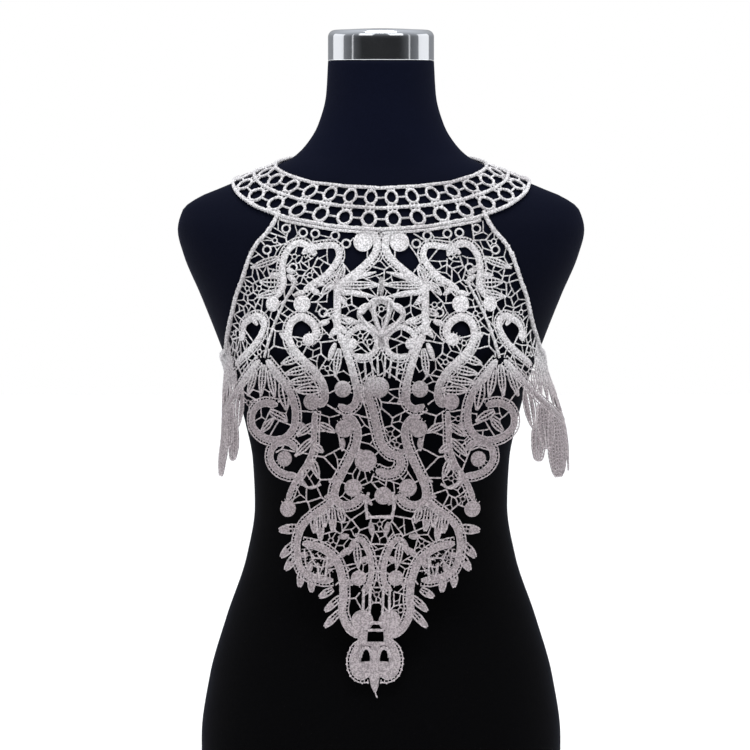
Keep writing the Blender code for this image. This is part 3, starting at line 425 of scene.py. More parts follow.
bump = addNode(tree, "ShaderNodeBump", {"Strength": laceLook["ridge"], "Distance": 0.0004},
               {"Height": relief.outputs[0]})
grainy = addNode(tree, "ShaderNodeVectorMath", {"operation": "SCALE"},
                 {0: tone.outputs[2], "Scale": grainRange.outputs["Result"]})
tree.links.new(grainy.outputs[0], shader.inputs["Base Color"])
tree.links.new(bump.outputs["Normal"], shader.inputs["Normal"])
shader.inputs["Roughness"].default_value = 0.7
shader.inputs["IOR"].default_value = 1.5
shader.inputs["Sheen Weight"].default_value = 0.25
shader.inputs["Sheen Roughness"].default_value = 0.4

# Black stretch jersey, weft knitted: near black with fine wales that run down the form. It is drawn bluer
# and
# lighter round the neck and shoulders: painted light where the light falls on the top of the form, darker
# below.
# Real wales are 0.7 mm apart, too fine to show, so they are drawn at 1.5 mm.
jerseyLook = {"low": "#030304", "high": "#0b0f20", "litPatchiness": 0.35, "walePitch": 1.5}
jersey, tree, shader = newMaterial("blackKnittedJersey")
place = addNode(tree, "ShaderNodeTexCoord").outputs["Object"]
wales = addNode(tree, "ShaderNodeTexVoronoi", {"Scale": 1000 / jerseyLook["walePitch"]}, {"Vector": place})
cloudy = addNode(tree, "ShaderNodeTexNoise", {"Scale": 9.0, "Detail": 4.0}, {"Vector": place})
height = addNode(tree, "ShaderNodeSeparateXYZ", links={"Vector": place}).outputs["Z"]
# painted light: the jersey is drawn lighter and bluer up the form, broken into random patches, and black
# lower down where the light falls off
upForm = addNode(tree, "ShaderNodeMapRange", {"From Min": 0.3, "From Max": 0.66}, {"Value": height})
patchy = addNode(tree, "ShaderNodeMapRange", {"To Min": 1.0 - jerseyLook["litPatchiness"], "To Max": 1.0},
                 {"Value": cloudy.outputs["Fac"]})
paintedLight = addNode(tree, "ShaderNodeMath", {"operation": "MULTIPLY"}, {0: upForm.outputs["Result"],
                                                                     1: patchy.outputs["Result"]})
black = addNode(tree, "ShaderNodeMix", {"data_type": "RGBA", 6: linear(jerseyLook["low"]),
                                        7: linear(jerseyLook["high"])}, {"Factor": paintedLight.outputs[0]})
bump = addNode(tree, "ShaderNodeBump", {"Strength": 0.25, "Distance": 0.0004},
               {"Height": wales.outputs["Distance"]})
tree.links.new(black.outputs[2], shader.inputs["Base Color"])
tree.links.new(bump.outputs["Normal"], shader.inputs["Normal"])
shader.inputs["Roughness"].default_value = 0.8
shader.inputs["Specular IOR Level"].default_value = 0.04
shader.inputs["Sheen Weight"].default_value = 0.02
shader.inputs["Sheen Roughness"].default_value = 0.35
shader.inputs["Sheen Tint"].default_value = linear("#6f84e0")

# Polished chrome plate over a spun steel lid: a clear mirror with a faint haze from wiping.
chromeLook = {"colour": "#dadce0", "haze": 60.0}
chrome, tree, shader = newMaterial("polishedChromePlate")
place = addNode(tree, "ShaderNodeTexCoord").outputs["Object"]
haze = addNode(tree, "ShaderNodeTexNoise", {"Scale": chromeLook["haze"], "Detail": 3.0}, {"Vector": place})
hazeRange = addNode(tree, "ShaderNodeMapRange", {"To Min": 0.05, "To Max": 0.12},
                    {"Value": haze.outputs["Fac"]})
tree.links.new(hazeRange.outputs["Result"], shader.inputs["Roughness"])
shader.inputs["Base Color"].default_value = linear(chromeLook["colour"])
shader.inputs["Metallic"].default_value = 1.0
print("materials mixed")

# The embroidery machine: one tree works every stroke of a lace piece from points and edges
satin, cord, ladder, picot, bulb, ringWork, knot = range(7)
stitchSettings = {"Step": 1.2, "Tape height": 1.9, "Tape crown": 0.5, "Cord step": 1.5, "Cord wobble": 0.3,
                  "Rung pitch": 3.3, "Rung radius": 0.45, "Picot pitch": 3.4, "Bulb height": 1.7, "Seed": 4}
machine = bpy.data.node_groups.new("embroideryMachine", "GeometryNodeTree")
machine.interface.new_socket("Geometry", in_out="INPUT", socket_type="NodeSocketGeometry")
for label, value in stitchSettings.items():
    kind = "NodeSocketInt" if isinstance(value, int) else "NodeSocketFloat"
    machine.interface.new_socket(label, in_out="INPUT", socket_type=kind).default_value = value
machine.interface.new_socket("Geometry", in_out="OUTPUT", socket_type="NodeSocketGeometry")
given = machine.nodes.new("NodeGroupInput").outputs
half = addNode(machine, "GeometryNodeInputNamedAttribute",
               {"data_type": "FLOAT", "Name": "half"}).outputs["Attribute"]
workKind = addNode(machine, "GeometryNodeInputNamedAttribute",
                   {"data_type": "INT", "Name": "work"}).outputs["Attribute"]


def pickWork(number):
    same = addNode(machine, "FunctionNodeCompare", {"data_type": "INT", "operation": "EQUAL", 3: number},
                   {2: workKind})
    return addNode(machine, "GeometryNodeSeparateGeometry", {"domain": "POINT"},
                   {"Geometry": given["Geometry"], "Selection": same.outputs["Result"]}).outputs["Selection"]


def pickRoutes(number, step):
    line = addNode(machine, "GeometryNodeMeshToCurve", links={"Mesh": pickWork(number)})
    even = addNode(machine, "GeometryNodeResampleCurve", {"mode": "LENGTH"},
                   {"Curve": line.outputs["Curve"], "Length": given[step]})
    return addNode(machine, "GeometryNodeSetCurveNormal", {"mode": "Z_UP"},
                   {"Curve": even.outputs["Curve"]}).outputs["Curve"]


def keepLength(curve):
    factor = addNode(machine, "GeometryNodeSplineParameter").outputs["Length"]
    return addNode(machine, "GeometryNodeStoreNamedAttribute",
                   {"data_type": "FLOAT", "domain": "POINT", "Name": "along"},
                   {"Geometry": curve, "Value": factor}).outputs["Geometry"]


stitchLift = {"rung": 0.75, "loop": 0.9, "bulb": 1.2, "knot": 0.75}          # height of each above the cloth


def stamped(points, shape, scale, lift, turned=None):
    links = {"Points": points, "Instance": shape, "Scale": scale}
    if turned is not None:
        links["Rotation"] = turned
    copies = addNode(machine, "GeometryNodeInstanceOnPoints", links=links)
    return addNode(machine, "GeometryNodeSetPosition", {"Offset": (0.0, 0.0, stitchLift[lift])},
                   {"Geometry": copies.outputs["Instances"]}).outputs["Geometry"]


# Satin tape: a flat-backed dome swept along the route, as wide as the route says
circle = addNode(machine, "GeometryNodeCurvePrimitiveCircle",
                 {"mode": "RADIUS", "Resolution": 12, "Radius": 1.0})
position = addNode(machine, "GeometryNodeInputPosition").outputs[0]
spot = addNode(machine, "ShaderNodeSeparateXYZ", links={"Vector": position})
flatBack = addNode(machine, "ShaderNodeMath", {"operation": "MAXIMUM", 1: -0.04}, {0: spot.outputs["Y"]})
crowned = addNode(machine, "ShaderNodeMath", {"operation": "MULTIPLY", 1: -1.0}, {0: flatBack.outputs[0]})
domed = addNode(machine, "ShaderNodeCombineXYZ", links={"X": spot.outputs["X"], "Y": crowned.outputs[0]})
dome = addNode(machine, "GeometryNodeSetPosition", links={"Geometry": circle.outputs["Curve"],
                                                          "Position": domed.outputs[0]})
tapes = addNode(machine, "GeometryNodeCurveToMesh", {"Fill Caps": True},
                {"Curve": keepLength(pickRoutes(satin, "Step")), "Profile Curve": dome.outputs["Geometry"],
                 "Scale": half})
where = addNode(machine, "ShaderNodeSeparateXYZ", links={"Vector": position})
rise = addNode(machine, "ShaderNodeMath", {"operation": "DIVIDE"}, {0: where.outputs["Z"], 1: half})
natural = addNode(machine, "ShaderNodeMath", {"operation": "MULTIPLY"}, {0: half, 1: given["Tape crown"]})
capped = addNode(machine, "ShaderNodeMath", {"operation": "MINIMUM"}, {0: natural.outputs[0],
                                                                       1: given["Tape height"]})
lifted = addNode(machine, "ShaderNodeMath", {"operation": "MULTIPLY"}, {0: rise.outputs[0],
                                                                        1: capped.outputs[0]})
levelled = addNode(machine, "ShaderNodeCombineXYZ", links={"X": where.outputs["X"], "Y": where.outputs["Y"],
                                                           "Z": lifted.outputs[0]})
tapesDone = addNode(machine, "GeometryNodeSetPosition",
                    links={"Geometry": tapes.outputs["Mesh"], "Position": levelled.outputs[0]}).outputs[0]

# Cord: a round wrapped thread that wanders a little and thickens into small knots
cordRoute = keepLength(pickRoutes(cord, "Cord step"))
wander = addNode(machine, "ShaderNodeTexNoise", {"noise_dimensions": "4D", "Scale": 0.35},
                 {"W": given["Seed"]})
centred = addNode(machine, "ShaderNodeVectorMath", {"operation": "SUBTRACT", 1: (0.5, 0.5, 0.5)},
                  {0: wander.outputs["Color"]})
amount = addNode(machine, "ShaderNodeMath", {"operation": "MULTIPLY", 1: 4.0}, {0: given["Cord wobble"]})
shift = addNode(machine, "ShaderNodeVectorMath", {"operation": "SCALE"}, {0: centred.outputs[0],
                                                                         "Scale": amount.outputs[0]})
flatShift = addNode(machine, "ShaderNodeVectorMath", {"operation": "MULTIPLY", 1: (1.0, 1.0, 0.25)},
                    {0: shift.outputs[0]})
cordMoved = addNode(machine, "GeometryNodeSetPosition", links={"Geometry": cordRoute,
                                                               "Offset": flatShift.outputs[0]})
knots = addNode(machine, "ShaderNodeTexNoise", {"noise_dimensions": "4D", "Scale": 0.5},
                {"W": given["Seed"]})
knotRange = addNode(machine, "ShaderNodeMapRange", {"From Min": 0.4, "From Max": 0.75, "To Min": 0.9,
                                                    "To Max": 1.45},
                    {"Value": knots.outputs["Fac"]})
cordScale = addNode(machine, "ShaderNodeMath", {"operation": "MULTIPLY"},
                    {0: knotRange.outputs["Result"], 1: half})
thread = addNode(machine, "GeometryNodeCurvePrimitiveCircle",
                 {"mode": "RADIUS", "Resolution": 7, "Radius": 1.0})
cordMesh = addNode(machine, "GeometryNodeCurveToMesh", {"Fill Caps": True},
                   {"Curve": cordMoved.outputs["Geometry"], "Profile Curve": thread.outputs["Curve"],
                    "Scale": cordScale.outputs[0]})
cordLift = addNode(machine, "ShaderNodeCombineXYZ", links={"Z": half})
cordsDone = addNode(machine, "GeometryNodeSetPosition",
                    links={"Geometry": cordMesh.outputs["Mesh"], "Offset": cordLift.outputs[0]}).outputs[0]

# Ladder rungs: short bars set across the route, which leave pinholes between them
barLine = addNode(machine, "GeometryNodeMeshCylinder",
                  {"Vertices": 6, "Side Segments": 1, "Radius": 1.0, "Depth": 2.0})
barTurned = addNode(machine, "GeometryNodeTransform", {"Rotation": (0.0, math.pi / 2, 0.0)},
                    {"Geometry": barLine.outputs["Mesh"]})
tangent = addNode(machine, "GeometryNodeInputTangent").outputs[0]
across = addNode(machine, "ShaderNodeVectorMath", {"operation": "CROSS_PRODUCT", 1: (0.0, 0.0, 1.0)},
                 {0: tangent})
facing = addNode(machine, "FunctionNodeAxesToRotation", {"primary_axis": "Z", "secondary_axis": "X",
                                                        "Primary Axis": (0.0, 0.0, 1.0)},
                 {"Secondary Axis": across.outputs[0]})
barSize = addNode(machine, "ShaderNodeCombineXYZ", links={"X": half, "Y": given["Rung radius"],
                                                          "Z": given["Rung radius"]})
rungsDone = stamped(pickRoutes(ladder, "Rung pitch"), barTurned.outputs["Geometry"], barSize.outputs[0],
                    "rung", facing.outputs[0])

# Rings and picots: a small wrapped loop, one at each place or one at each pitch along a route
loopLine, loopThread = [addNode(machine, "GeometryNodeCurvePrimitiveCircle",
                                {"mode": "RADIUS", "Resolution": count, "Radius": radius}).outputs["Curve"]
                        for count, radius in ((16, 1.0), (6, 0.24))]
loop = addNode(machine, "GeometryNodeCurveToMesh",
               links={"Curve": loopLine, "Profile Curve": loopThread}).outputs["Mesh"]
ringsDone = stamped(pickWork(ringWork), loop, half, "loop")
picotsDone = stamped(pickRoutes(picot, "Picot pitch"), loop, half, "loop")

# Bulbs: padded satin discs
pad = addNode(machine, "GeometryNodeMeshUVSphere", {"Segments": 28, "Rings": 12, "Radius": 1.0})
bulbTall = addNode(machine, "ShaderNodeMath", {"operation": "MULTIPLY", 1: 0.5}, {0: given["Bulb height"]})
bulbSize = addNode(machine, "ShaderNodeCombineXYZ", links={"X": half, "Y": half, "Z": bulbTall.outputs[0]})
bulbsDone = stamped(pickWork(bulb), pad.outputs["Mesh"], bulbSize.outputs[0], "bulb")

# Knots where brides meet
bead = addNode(machine, "GeometryNodeMeshUVSphere", {"Segments": 7, "Rings": 5, "Radius": 1.0})
knotsDone = stamped(pickWork(knot), bead.outputs["Mesh"], half, "knot")

allWork = addNode(machine, "GeometryNodeJoinGeometry")
for part in (tapesDone, cordsDone, rungsDone, ringsDone, picotsDone, bulbsDone, knotsDone):
    machine.links.new(part, allWork.inputs[0])
realised = addNode(machine, "GeometryNodeRealizeInstances", links={"Geometry": allWork.outputs[0]})
smooth = addNode(machine, "GeometryNodeSetShadeSmooth", links={"Geometry": realised.outputs[0]})
dressed = addNode(machine, "GeometryNodeSetMaterial", {"Material": guipure}, {"Geometry": smooth.outputs[0]})
machine.links.new(dressed.outputs[0], machine.nodes.new("NodeGroupOutput").inputs[0])
print("embroidery machine built")

# Every stroke of the lace, by piece
pieceWork = {}


def pieceOf(u, z):
    if z < pointSeam:
        return "pointLace"
    rows = sorted(wingSeam, key=lambda p: p[1])
    beyond = np.interp(z, [p[1] for p in rows], [p[0] for p in rows])
    if wingSeam[-1][1] < z < wingSeam[0][1] and abs(u) > beyond:
        return "wingLaceLeft" if u < 0 else "wingLaceRight"
    return "bibLaceLeft" if u < 0 else "bibLaceRight"


def stitch(kind, route, width, piece=None):
    route = np.atleast_2d(np.array(route, float))
    width = np.broadcast_to(width, (len(route),)).astype(float)
    middle = route.mean(axis=0)
    pieceWork.setdefault(piece or pieceOf(*middle), []).append((kind, route, width))


def smoothRoute(points, step=2.0):
    points = np.array(points, float)
    ends = np.vstack([2 * points[0] - points[1], points, 2 * points[-1] - points[-2]])
    route = []
    for a, b, c, d in zip(ends[:-3], ends[1:-2], ends[2:-1], ends[3:]):
        count = max(1, round(float(np.linalg.norm(c - b)) / step))
        for t in np.arange(count) / count:
            route.append(0.5 * (2 * b + (c - a) * t + (2 * a - 5 * b + 4 * c - d) * t**2
                                + (3 * b - a - 3 * c + d) * t**3))
    return np.array(route + [points[-1]])


def bothSides(points):
    return [points, [(-x, y) for x, y in points]]


def charted(points):
    return [chartPlace(x, y) for x, y in points]


def beside(route, distance):
    way = np.gradient(route, axis=0)
    left = np.stack([-way[:, 1], way[:, 0]], -1) / np.maximum(np.linalg.norm(way, axis=1), 1e-6)[:, None]
    return route + left * np.reshape(distance, (-1, 1))


def outerSide(route):
    way = np.diff(route, axis=0)
    turn = way[:-1, 0] * way[1:, 1] - way[:-1, 1] * way[1:, 0]
    return -1.0 if turn.sum() > 0 else 1.0


tapeCut = {"edgeCord": 0.62, "hem": 0.5, "hemIn": 0.35, "hemLeast": 0.3, "core": 0.3, "gap": 2.3,
           "overlap": 0.3, "twoSided": 8.2, "taperFrom": 0.35, "taperStep": 0.3}
strokes = []          # route and radius, as in the solids: the net keeps clear of them


def workTape(route, width, sides=None):
    sides = sides or ((-1.0, 1.0) if width >= tapeCut["twoSided"] else (outerSide(route),))
    fromEnd = np.minimum(np.arange(len(route)), np.arange(len(route))[::-1])
    taper = np.minimum(1.0, tapeCut["taperFrom"] + fromEnd * tapeCut["taperStep"])
    core = width / 2 - tapeCut["core"]
    stitch(satin, route, core * taper)
    for side in (-1.0, 1.0):
        hemAt = np.maximum(core * taper - tapeCut["hemIn"], tapeCut["hemLeast"])
        stitch(cord, beside(route, side * hemAt), tapeCut["hem"])
    for side in sides:
        stitch(cord, beside(route, side * (core + tapeCut["gap"])), tapeCut["edgeCord"])
        stitch(ladder, beside(route, side * (core + tapeCut["gap"] / 2)),
               tapeCut["gap"] / 2 + tapeCut["overlap"])


# Leaves: the lower the point value, the blunter the tip. A solid leaf is plain satin, a broad one has two
# satin halves, and one on the front hem is satin from its middle outwards
leafCut = {"point": 0.8, "hemPoint": 0.45, "lobePoint": 0.35, "least": 0.9, "solid": 6.5, "broad": 11.0,
           "rim": 0.78, "rimIn": 0.4, "vein": 0.8, "hemVein": 0.7, "veinRungs": 1.2, "hemBelow": 275.0,
           "hemOut": 42.0}


def leafShape(root, tip, width, point=leafCut["point"], count=15):
    t = np.linspace(0, 1, count)
    route = np.array(root, float) + (np.array(tip, float) - np.array(root, float)) * t[:, None]
    return route, np.maximum(width / 2 * np.sin(math.pi * (0.12 + 0.86 * t))**point, leafCut["least"])


def workLeaf(root, tip, width):
    edging = tip[1] < leafCut["hemBelow"] and abs(tip[0]) > leafCut["hemOut"]
    route, reach = leafShape(root, tip, width, leafCut["hemPoint"] if edging else leafCut["point"])
    if width < leafCut["solid"]:
        stitch(satin, route, reach)
        return
    if edging:
        stitch(satin, route[7:], reach[7:] - 0.3)
        stitch(cord, route[:8], leafCut["hemVein"])
        stitch(ladder, route[:8], reach[:8])
    elif width > leafCut["broad"]:
        for side in (-1, 1):
            stitch(satin, beside(route, side * reach * 0.42), np.maximum(reach * 0.36 - 0.3, 0.5))
        stitch(ladder, route, leafCut["veinRungs"])
    else:
        stitch(cord, route, leafCut["vein"])
        stitch(ladder, route, reach - 0.6)
    for side in (-1, 1):
        stitch(cord, beside(route, side * (reach - leafCut["rimIn"])), leafCut["rim"])


lobeCut = {"finger": 7.0, "inner": 1.5, "split": 0.2, "least": 0.6, "splitRungs": 1.0, "rim": 0.85,
           "rimIn": 0.3, "rungs": 1.1, "rungsIn": 1.2}


def aroundLobe(route, reach, inset):
    return np.vstack([beside(route, inset - reach), beside(route, reach - inset)[::-1]])


def workLobe(root, tip, width):
    route, reach = leafShape(root, tip, width, leafCut["lobePoint"], 21)
    inner = reach - lobeCut["inner"]
    fingers = max(2, round(width / lobeCut["finger"]))
    for k in range(fingers):
        line = beside(route, inner * (2 * (k + 0.5) / fingers - 1))
        stitch(satin, line, np.maximum(inner / fingers - lobeCut["split"], lobeCut["least"]))
    for k in range(1, fingers):
        stitch(ladder, beside(route, inner * (2 * k / fingers - 1)), lobeCut["splitRungs"])
    stitch(cord, aroundLobe(route, reach, lobeCut["rimIn"]), lobeCut["rim"])
    stitch(ladder, aroundLobe(route, reach, lobeCut["rungsIn"]), lobeCut["rungs"])


# A bulb sits a little off its tape, and rungs tie it on where the two are near
bulbCut = {"off": 0.5, "inset": 0.6, "tieIn": 0.2, "near": 2.4, "rungs": 1.2}


def workBulb(middle, radius, tape, half):
    middle = np.array(middle, float)
    gap = tape - middle
    toward = gap[np.argmin(np.hypot(*gap.T))]
    angle = math.atan2(toward[1], toward[0])
    way = np.array([math.cos(angle), math.sin(angle)])
    stitch(bulb, middle - bulbCut["off"] * way, radius - bulbCut["inset"])
    around = angle + np.linspace(-1.6, 1.6, 33)
    rim = middle + (radius - bulbCut["tieIn"]) * np.stack([np.cos(around), np.sin(around)], -1)
    near = np.array([np.hypot(*(tape - p).T).min() < half + bulbCut["near"] for p in rim])
    if near.sum() > 4:
        stitch(ladder, rim[near], bulbCut["rungs"])


smallCut = {"crescent": 0.7, "crescentRungs": 2.6, "widestCord": 4.2, "edge": 4.0, "branch": 7.0,
            "ringOver": 0.3}
for width, points, ends in scrolls:
    for route in bothSides(charted(points)):
        line = smoothRoute(route)
        strokes.append((line, width / 2))
        workTape(line, width)
    for x, y, radius in ends:
        for middle, tape in zip(bothSides([chartPlace(x, y)]), bothSides(charted(points))):
            strokes.append((np.array(middle), radius))
            workBulb(middle[0], radius, smoothRoute(tape), width / 2)
for root, tip, width in leaves:
    for a, b in bothSides(charted([root, tip])):
        strokes.append(leafShape(a, b, width))
        workLeaf(a, b, width)
for root, tip, width in wingLobes:
    for a, b in bothSides([root, tip]):
        strokes.append(leafShape(a, b, width, leafCut["lobePoint"]))
        workLobe(a, b, width)
for root, tip, width in wingLeaves:
    for a, b in bothSides([root, tip]):
        strokes.append(leafShape(a, b, width))
        workLeaf(a, b, width)
for root, tip, width in sprigs:
    for a, b in bothSides(charted([root, tip])):
        workLeaf(a, b, width)
for points in crescents:
    for route in bothSides(charted(points)):
        line = smoothRoute(route)
        stitch(cord, line, smallCut["crescent"])
        stitch(ladder, line, smallCut["crescentRungs"])
for points, width in petals:
    for route in bothSides(charted(points)):
        stitch(satin, smoothRoute(route, 1.5), width / 2)
for width, points in cords + [(smallCut["edge"], armhole)]:
    for route in bothSides(charted(points)):
        line = smoothRoute(route)
        strokes.append((line, width / 2))
        stitch(satin if width > smallCut["widestCord"] else cord, line, width / 2)
for width, points in [(smallCut["edge"], wingEdge), (smallCut["branch"], wingBranch)]:
    for route in bothSides(points):
        line = smoothRoute(route)
        strokes.append((line, width / 2))
        if width > smallCut["widestCord"]:
            workTape(line, width, (-1.0, 1.0))
        else:
            stitch(cord, line, width / 2)
for spot in groundRings:
    for middle in bothSides([chartPlace(*spot)]):
        around = np.linspace(0, 2 * math.pi, 13)
        strokes.append((np.array(middle) + ring["radius"] * np.stack([np.cos(around), np.sin(around)], -1),
                        ring["width"] / 2))
        stitch(ringWork, middle, ring["radius"] + smallCut["ringOver"])
line = smoothRoute(charted(middleScroll[1]))
strokes.append((line, middleScroll[0] / 2))
workTape(line, middleScroll[0])
for x, y, radius in middleBulbs:
    middle = chartPlace(x, y)
    strokes.append((np.array([middle]), radius))
    workBulb(middle, radius, line, middleScroll[0] / 2)

# The pendant: a spine that tapers to a pin and a thread end, between two lobes with beaded edges
pendant = {"thread": [(1, 103), (2, 100), (3.5, 97)], "threadHalf": 0.6, "bead": 1.0, "beadsOut": 6.4,
           "beadsFrom": 5, "neck": [(12.5, 164), (13, 157), (13, 151)], "neckHalf": 4.6}
spine = smoothRoute(charted([spot[:2] for spot in pendantSpine]))
spineHalf = np.interp(-spine[:, 1], [-chartPlace(*spot[:2])[1] for spot in pendantSpine],
                      [spot[2] for spot in pendantSpine])
strokes.append((spine, spineHalf))
stitch(satin, spine, spineHalf)
stitch(cord, charted(pendant["thread"]), pendant["threadHalf"])
for joint in bothSides(charted(pendant["neck"])):
    stitch(satin, joint, pendant["neckHalf"])
for edge in bothSides(charted(scrolls[-1][1])):
    edge = smoothRoute(edge)
    for spot in beside(edge, outerSide(edge) * pendant["beadsOut"])[pendant["beadsFrom"]::2]:
        stitch(knot, spot, pendant["bead"])

# The neck band, in its own chart: (distance round from the centre back, minus distance across)
bandLook = {"cord": 1.7, "ringWide": 6.0, "ringTall": 7.9, "ringCord": 1.35, "picot": 1.0, "picotOut": 1.2,
            "tie": 0.95, "feet": (-3.0, 0.0, 3.0), "footSplay": 1.5, "footCurve": 0.3, "footLong": 3.2}
pitch = bandLength / band["rings"]
rest = np.arange(0, bandLength + 1, 3.0)


def bandStitch(kind, xs, ys, width):
    stitch(kind, np.stack(np.broadcast_arrays(xs, ys), -1), width, "bandLace")


for row in band["cords"]:
    bandStitch(cord, rest, -row, bandLook["cord"])
for row in (band["cords"][0] - bandLook["picotOut"], band["cords"][-1] + bandLook["picotOut"]):
    bandStitch(picot, rest, -row, bandLook["picot"])
around = np.linspace(0, 2 * math.pi, 25)
ringSide = bandLook["ringWide"]
for k in range(band["rings"]):
    x = (k + 0.5) * pitch
    for row in band["rows"]:
        bandStitch(cord, x + ringSide * np.cos(around), -row + bandLook["ringTall"] * np.sin(around),
                   bandLook["ringCord"])
        bandStitch(cord, [x + ringSide, x + ringSide + (pitch - 2 * ringSide)], -row, bandLook["tie"])
        for side in (-1, 1):
            tip = -row + side * bandLook["ringTall"]
            for foot in bandLook["feet"]:
                bandStitch(cord, [x + foot, x + foot * bandLook["footSplay"]],
                           [tip - side * abs(foot) * bandLook["footCurve"],
                            tip + side * bandLook["footLong"]],
                           bandLook["tie"])
print("strokes charted", sum(len(work) for work in pieceWork.values()))


# The net ground: brides midway between neighbouring gaps, clear of the strokes
netCut = {"seed": 7, "from": 183.0, "room": 3.2, "clear": 0.5, "passes": 2, "into": -1.2, "far": 9.0,
          "reach": 8.0, "shortest": 0.6, "longest": 400.0, "knot": 1.15, "below": 2.0}
topSeam = {"below": 1.5, "keepOff": 2.0, "up": 0.4, "cord": 1.3}


def bandLowerEdge():
    edge = []
    for turn, strip in zip(bandTurns, bandGrid):
        if abs(turn) > math.radians(band["frontTurn"]):
            continue
        points, run = wornSection(1, strip[-1][2], even=True)
        widest = int(np.argmax(points[:, 0])) + 1
        u = float(np.interp(abs(strip[-1][0]), points[:widest, 0], run[:widest]))
        edge.append((math.copysign(u, turn), strip[-1][2]))
    return edge[::3]


def inside(polygon, x, y):
    hit = np.zeros(np.shape(x), bool)
    for (ax, ay), (bx, by) in zip(polygon, polygon[1:] + polygon[:1]):
        if ay != by:
            hit ^= ((ay > y) != (by > y)) & (x < ax + (y - ay) * (bx - ax) / (by - ay))
    return hit


def netOutline():
    side = charted([(103, 580)] + armhole[1:]) + wingEdge + wingBranch[:1:-1]
    half = side + charted(frontHem)
    top = [(u, z - netCut["below"]) for u, z in bandLowerEdge()]
    return top + half + [(-u, z) for u, z in reversed(half)]


def chartField(us, zs):
    field = np.full((len(us), len(zs)), netCut["far"])
    for route, radius in strokes:
        route = np.atleast_2d(route)
        radius = np.broadcast_to(radius, (len(route),)).astype(float)
        pieces = list(zip(route[:-1], route[1:], radius[:-1], radius[1:]))
        for a, b, ra, rb in pieces or [(route[0], route[0], radius[0], radius[0])]:
            reach = max(ra, rb) + netCut["reach"]
            i0, i1 = np.searchsorted(us, [min(a[0], b[0]) - reach, max(a[0], b[0]) + reach])
            j0, j1 = np.searchsorted(zs, [min(a[1], b[1]) - reach, max(a[1], b[1]) + reach])
            x, y = np.meshgrid(us[i0:i1], zs[j0:j1], indexing="ij")
            run = max(float(np.dot(b - a, b - a)), 1e-9)
            t = np.clip(((x - a[0]) * (b[0] - a[0]) + (y - a[1]) * (b[1] - a[1])) / run, 0, 1)
            away = np.hypot(x - a[0] - t * (b[0] - a[0]), y - a[1] - t * (b[1] - a[1])) - ra - (rb - ra) * t
            field[i0:i1, j0:j1] = np.minimum(field[i0:i1, j0:j1], away)
    return field


def hubOf(a, b, c):          # the point as far from each of three gaps
    (ax, ay), (bx, by), (cx, cy) = a, b, c
    d = 2 * (ax * (by - cy) + bx * (cy - ay) + cx * (ay - by))
    aa, bb, cc = ax**2 + ay**2, bx**2 + by**2, cx**2 + cy**2
    return np.array([(aa * (by - cy) + bb * (cy - ay) + cc * (ay - by)) / d,
                     (aa * (cx - bx) + bb * (ax - cx) + cc * (bx - ax)) / d])


topCord = np.array([(u, z - topSeam["below"]) for u, z in bandLowerEdge()])
strokes.append((topCord, topSeam["keepOff"]))
topCord = topCord[np.abs(topCord[:, 0]) < chartPlace(*armhole[1])[0]]
for half in (topCord[topCord[:, 0] <= 0], topCord[topCord[:, 0] >= 0]):
    stitch(cord, half + (0.0, topSeam["up"]), topSeam["cord"])
us = np.arange(-300.0, 301.0, cloth["grid"])
zs = np.arange(104.0, 600.0, cloth["grid"])
x, y = np.meshgrid(us, zs, indexing="ij")
field = chartField(us, zs)
ground = inside(netOutline(), x, y)
taken = np.array([(*middle, clear) for out, upward, clear in windows
                  for middle, in bothSides([chartPlace(out, upward)])])
fixed = len(taken)
room = np.argwhere(ground & (field > netCut["room"]))
for i, j in room[np.random.default_rng(netCut["seed"]).permutation(len(room))]:
    if np.all(np.hypot(taken[:, 0] - x[i, j], taken[:, 1] - y[i, j]) > taken[:, 2] + cloth["cell"] / 2):
        taken = np.vstack([taken, (x[i, j], y[i, j], cloth["cell"] / 2)])
sites = taken[:, :2].copy()
free = ground & (field > netCut["clear"])
px, py = x[free], y[free]
for _ in range(netCut["passes"]):
    nearest = np.argmin([np.hypot(px - u, py - z) for u, z in sites], axis=0)
    for k in range(fixed, len(sites)):
        if (nearest == k).any():
            sites[k] = (px[nearest == k].mean(), py[nearest == k].mean())
# A far ring of places closes the outermost cells
farOff = [(3000 * math.cos(a), 350 + 3000 * math.sin(a))
          for a in np.linspace(0, 2 * math.pi, 12, endpoint=False)]
cells = delaunay_2d_cdt([Vector(p) for p in list(sites) + farOff], [], [], 0, 1e-6)
cellPoints, cellFaces = [np.array(p) for p in cells[0]], cells[2]
hubs, besideEdge = [], {}
for k, (a, b, c) in enumerate(cellFaces):
    hubs.append(hubOf(cellPoints[a], cellPoints[b], cellPoints[c]))
    for p, q in ((a, b), (b, c), (c, a)):
        besideEdge.setdefault((min(p, q), max(p, q)), []).append(k)
brides = 0
ringed = np.zeros(field.shape, bool)
for spot in groundRings:
    for (u, z), in bothSides([chartPlace(*spot)]):
        ringed |= np.hypot(x - u, y - z) < ring["radius"]
for hub in hubs:
    i, j = round(hub[0] - us[0]), round(hub[1] - zs[0])
    if not (0 < i < len(us) and 0 < j < len(zs)) or ringed[i, j] or hub[1] <= netCut["from"]:
        continue
    if ground[i, j] and field[i, j] > netCut["clear"]:
        stitch(knot, hub, netCut["knot"])
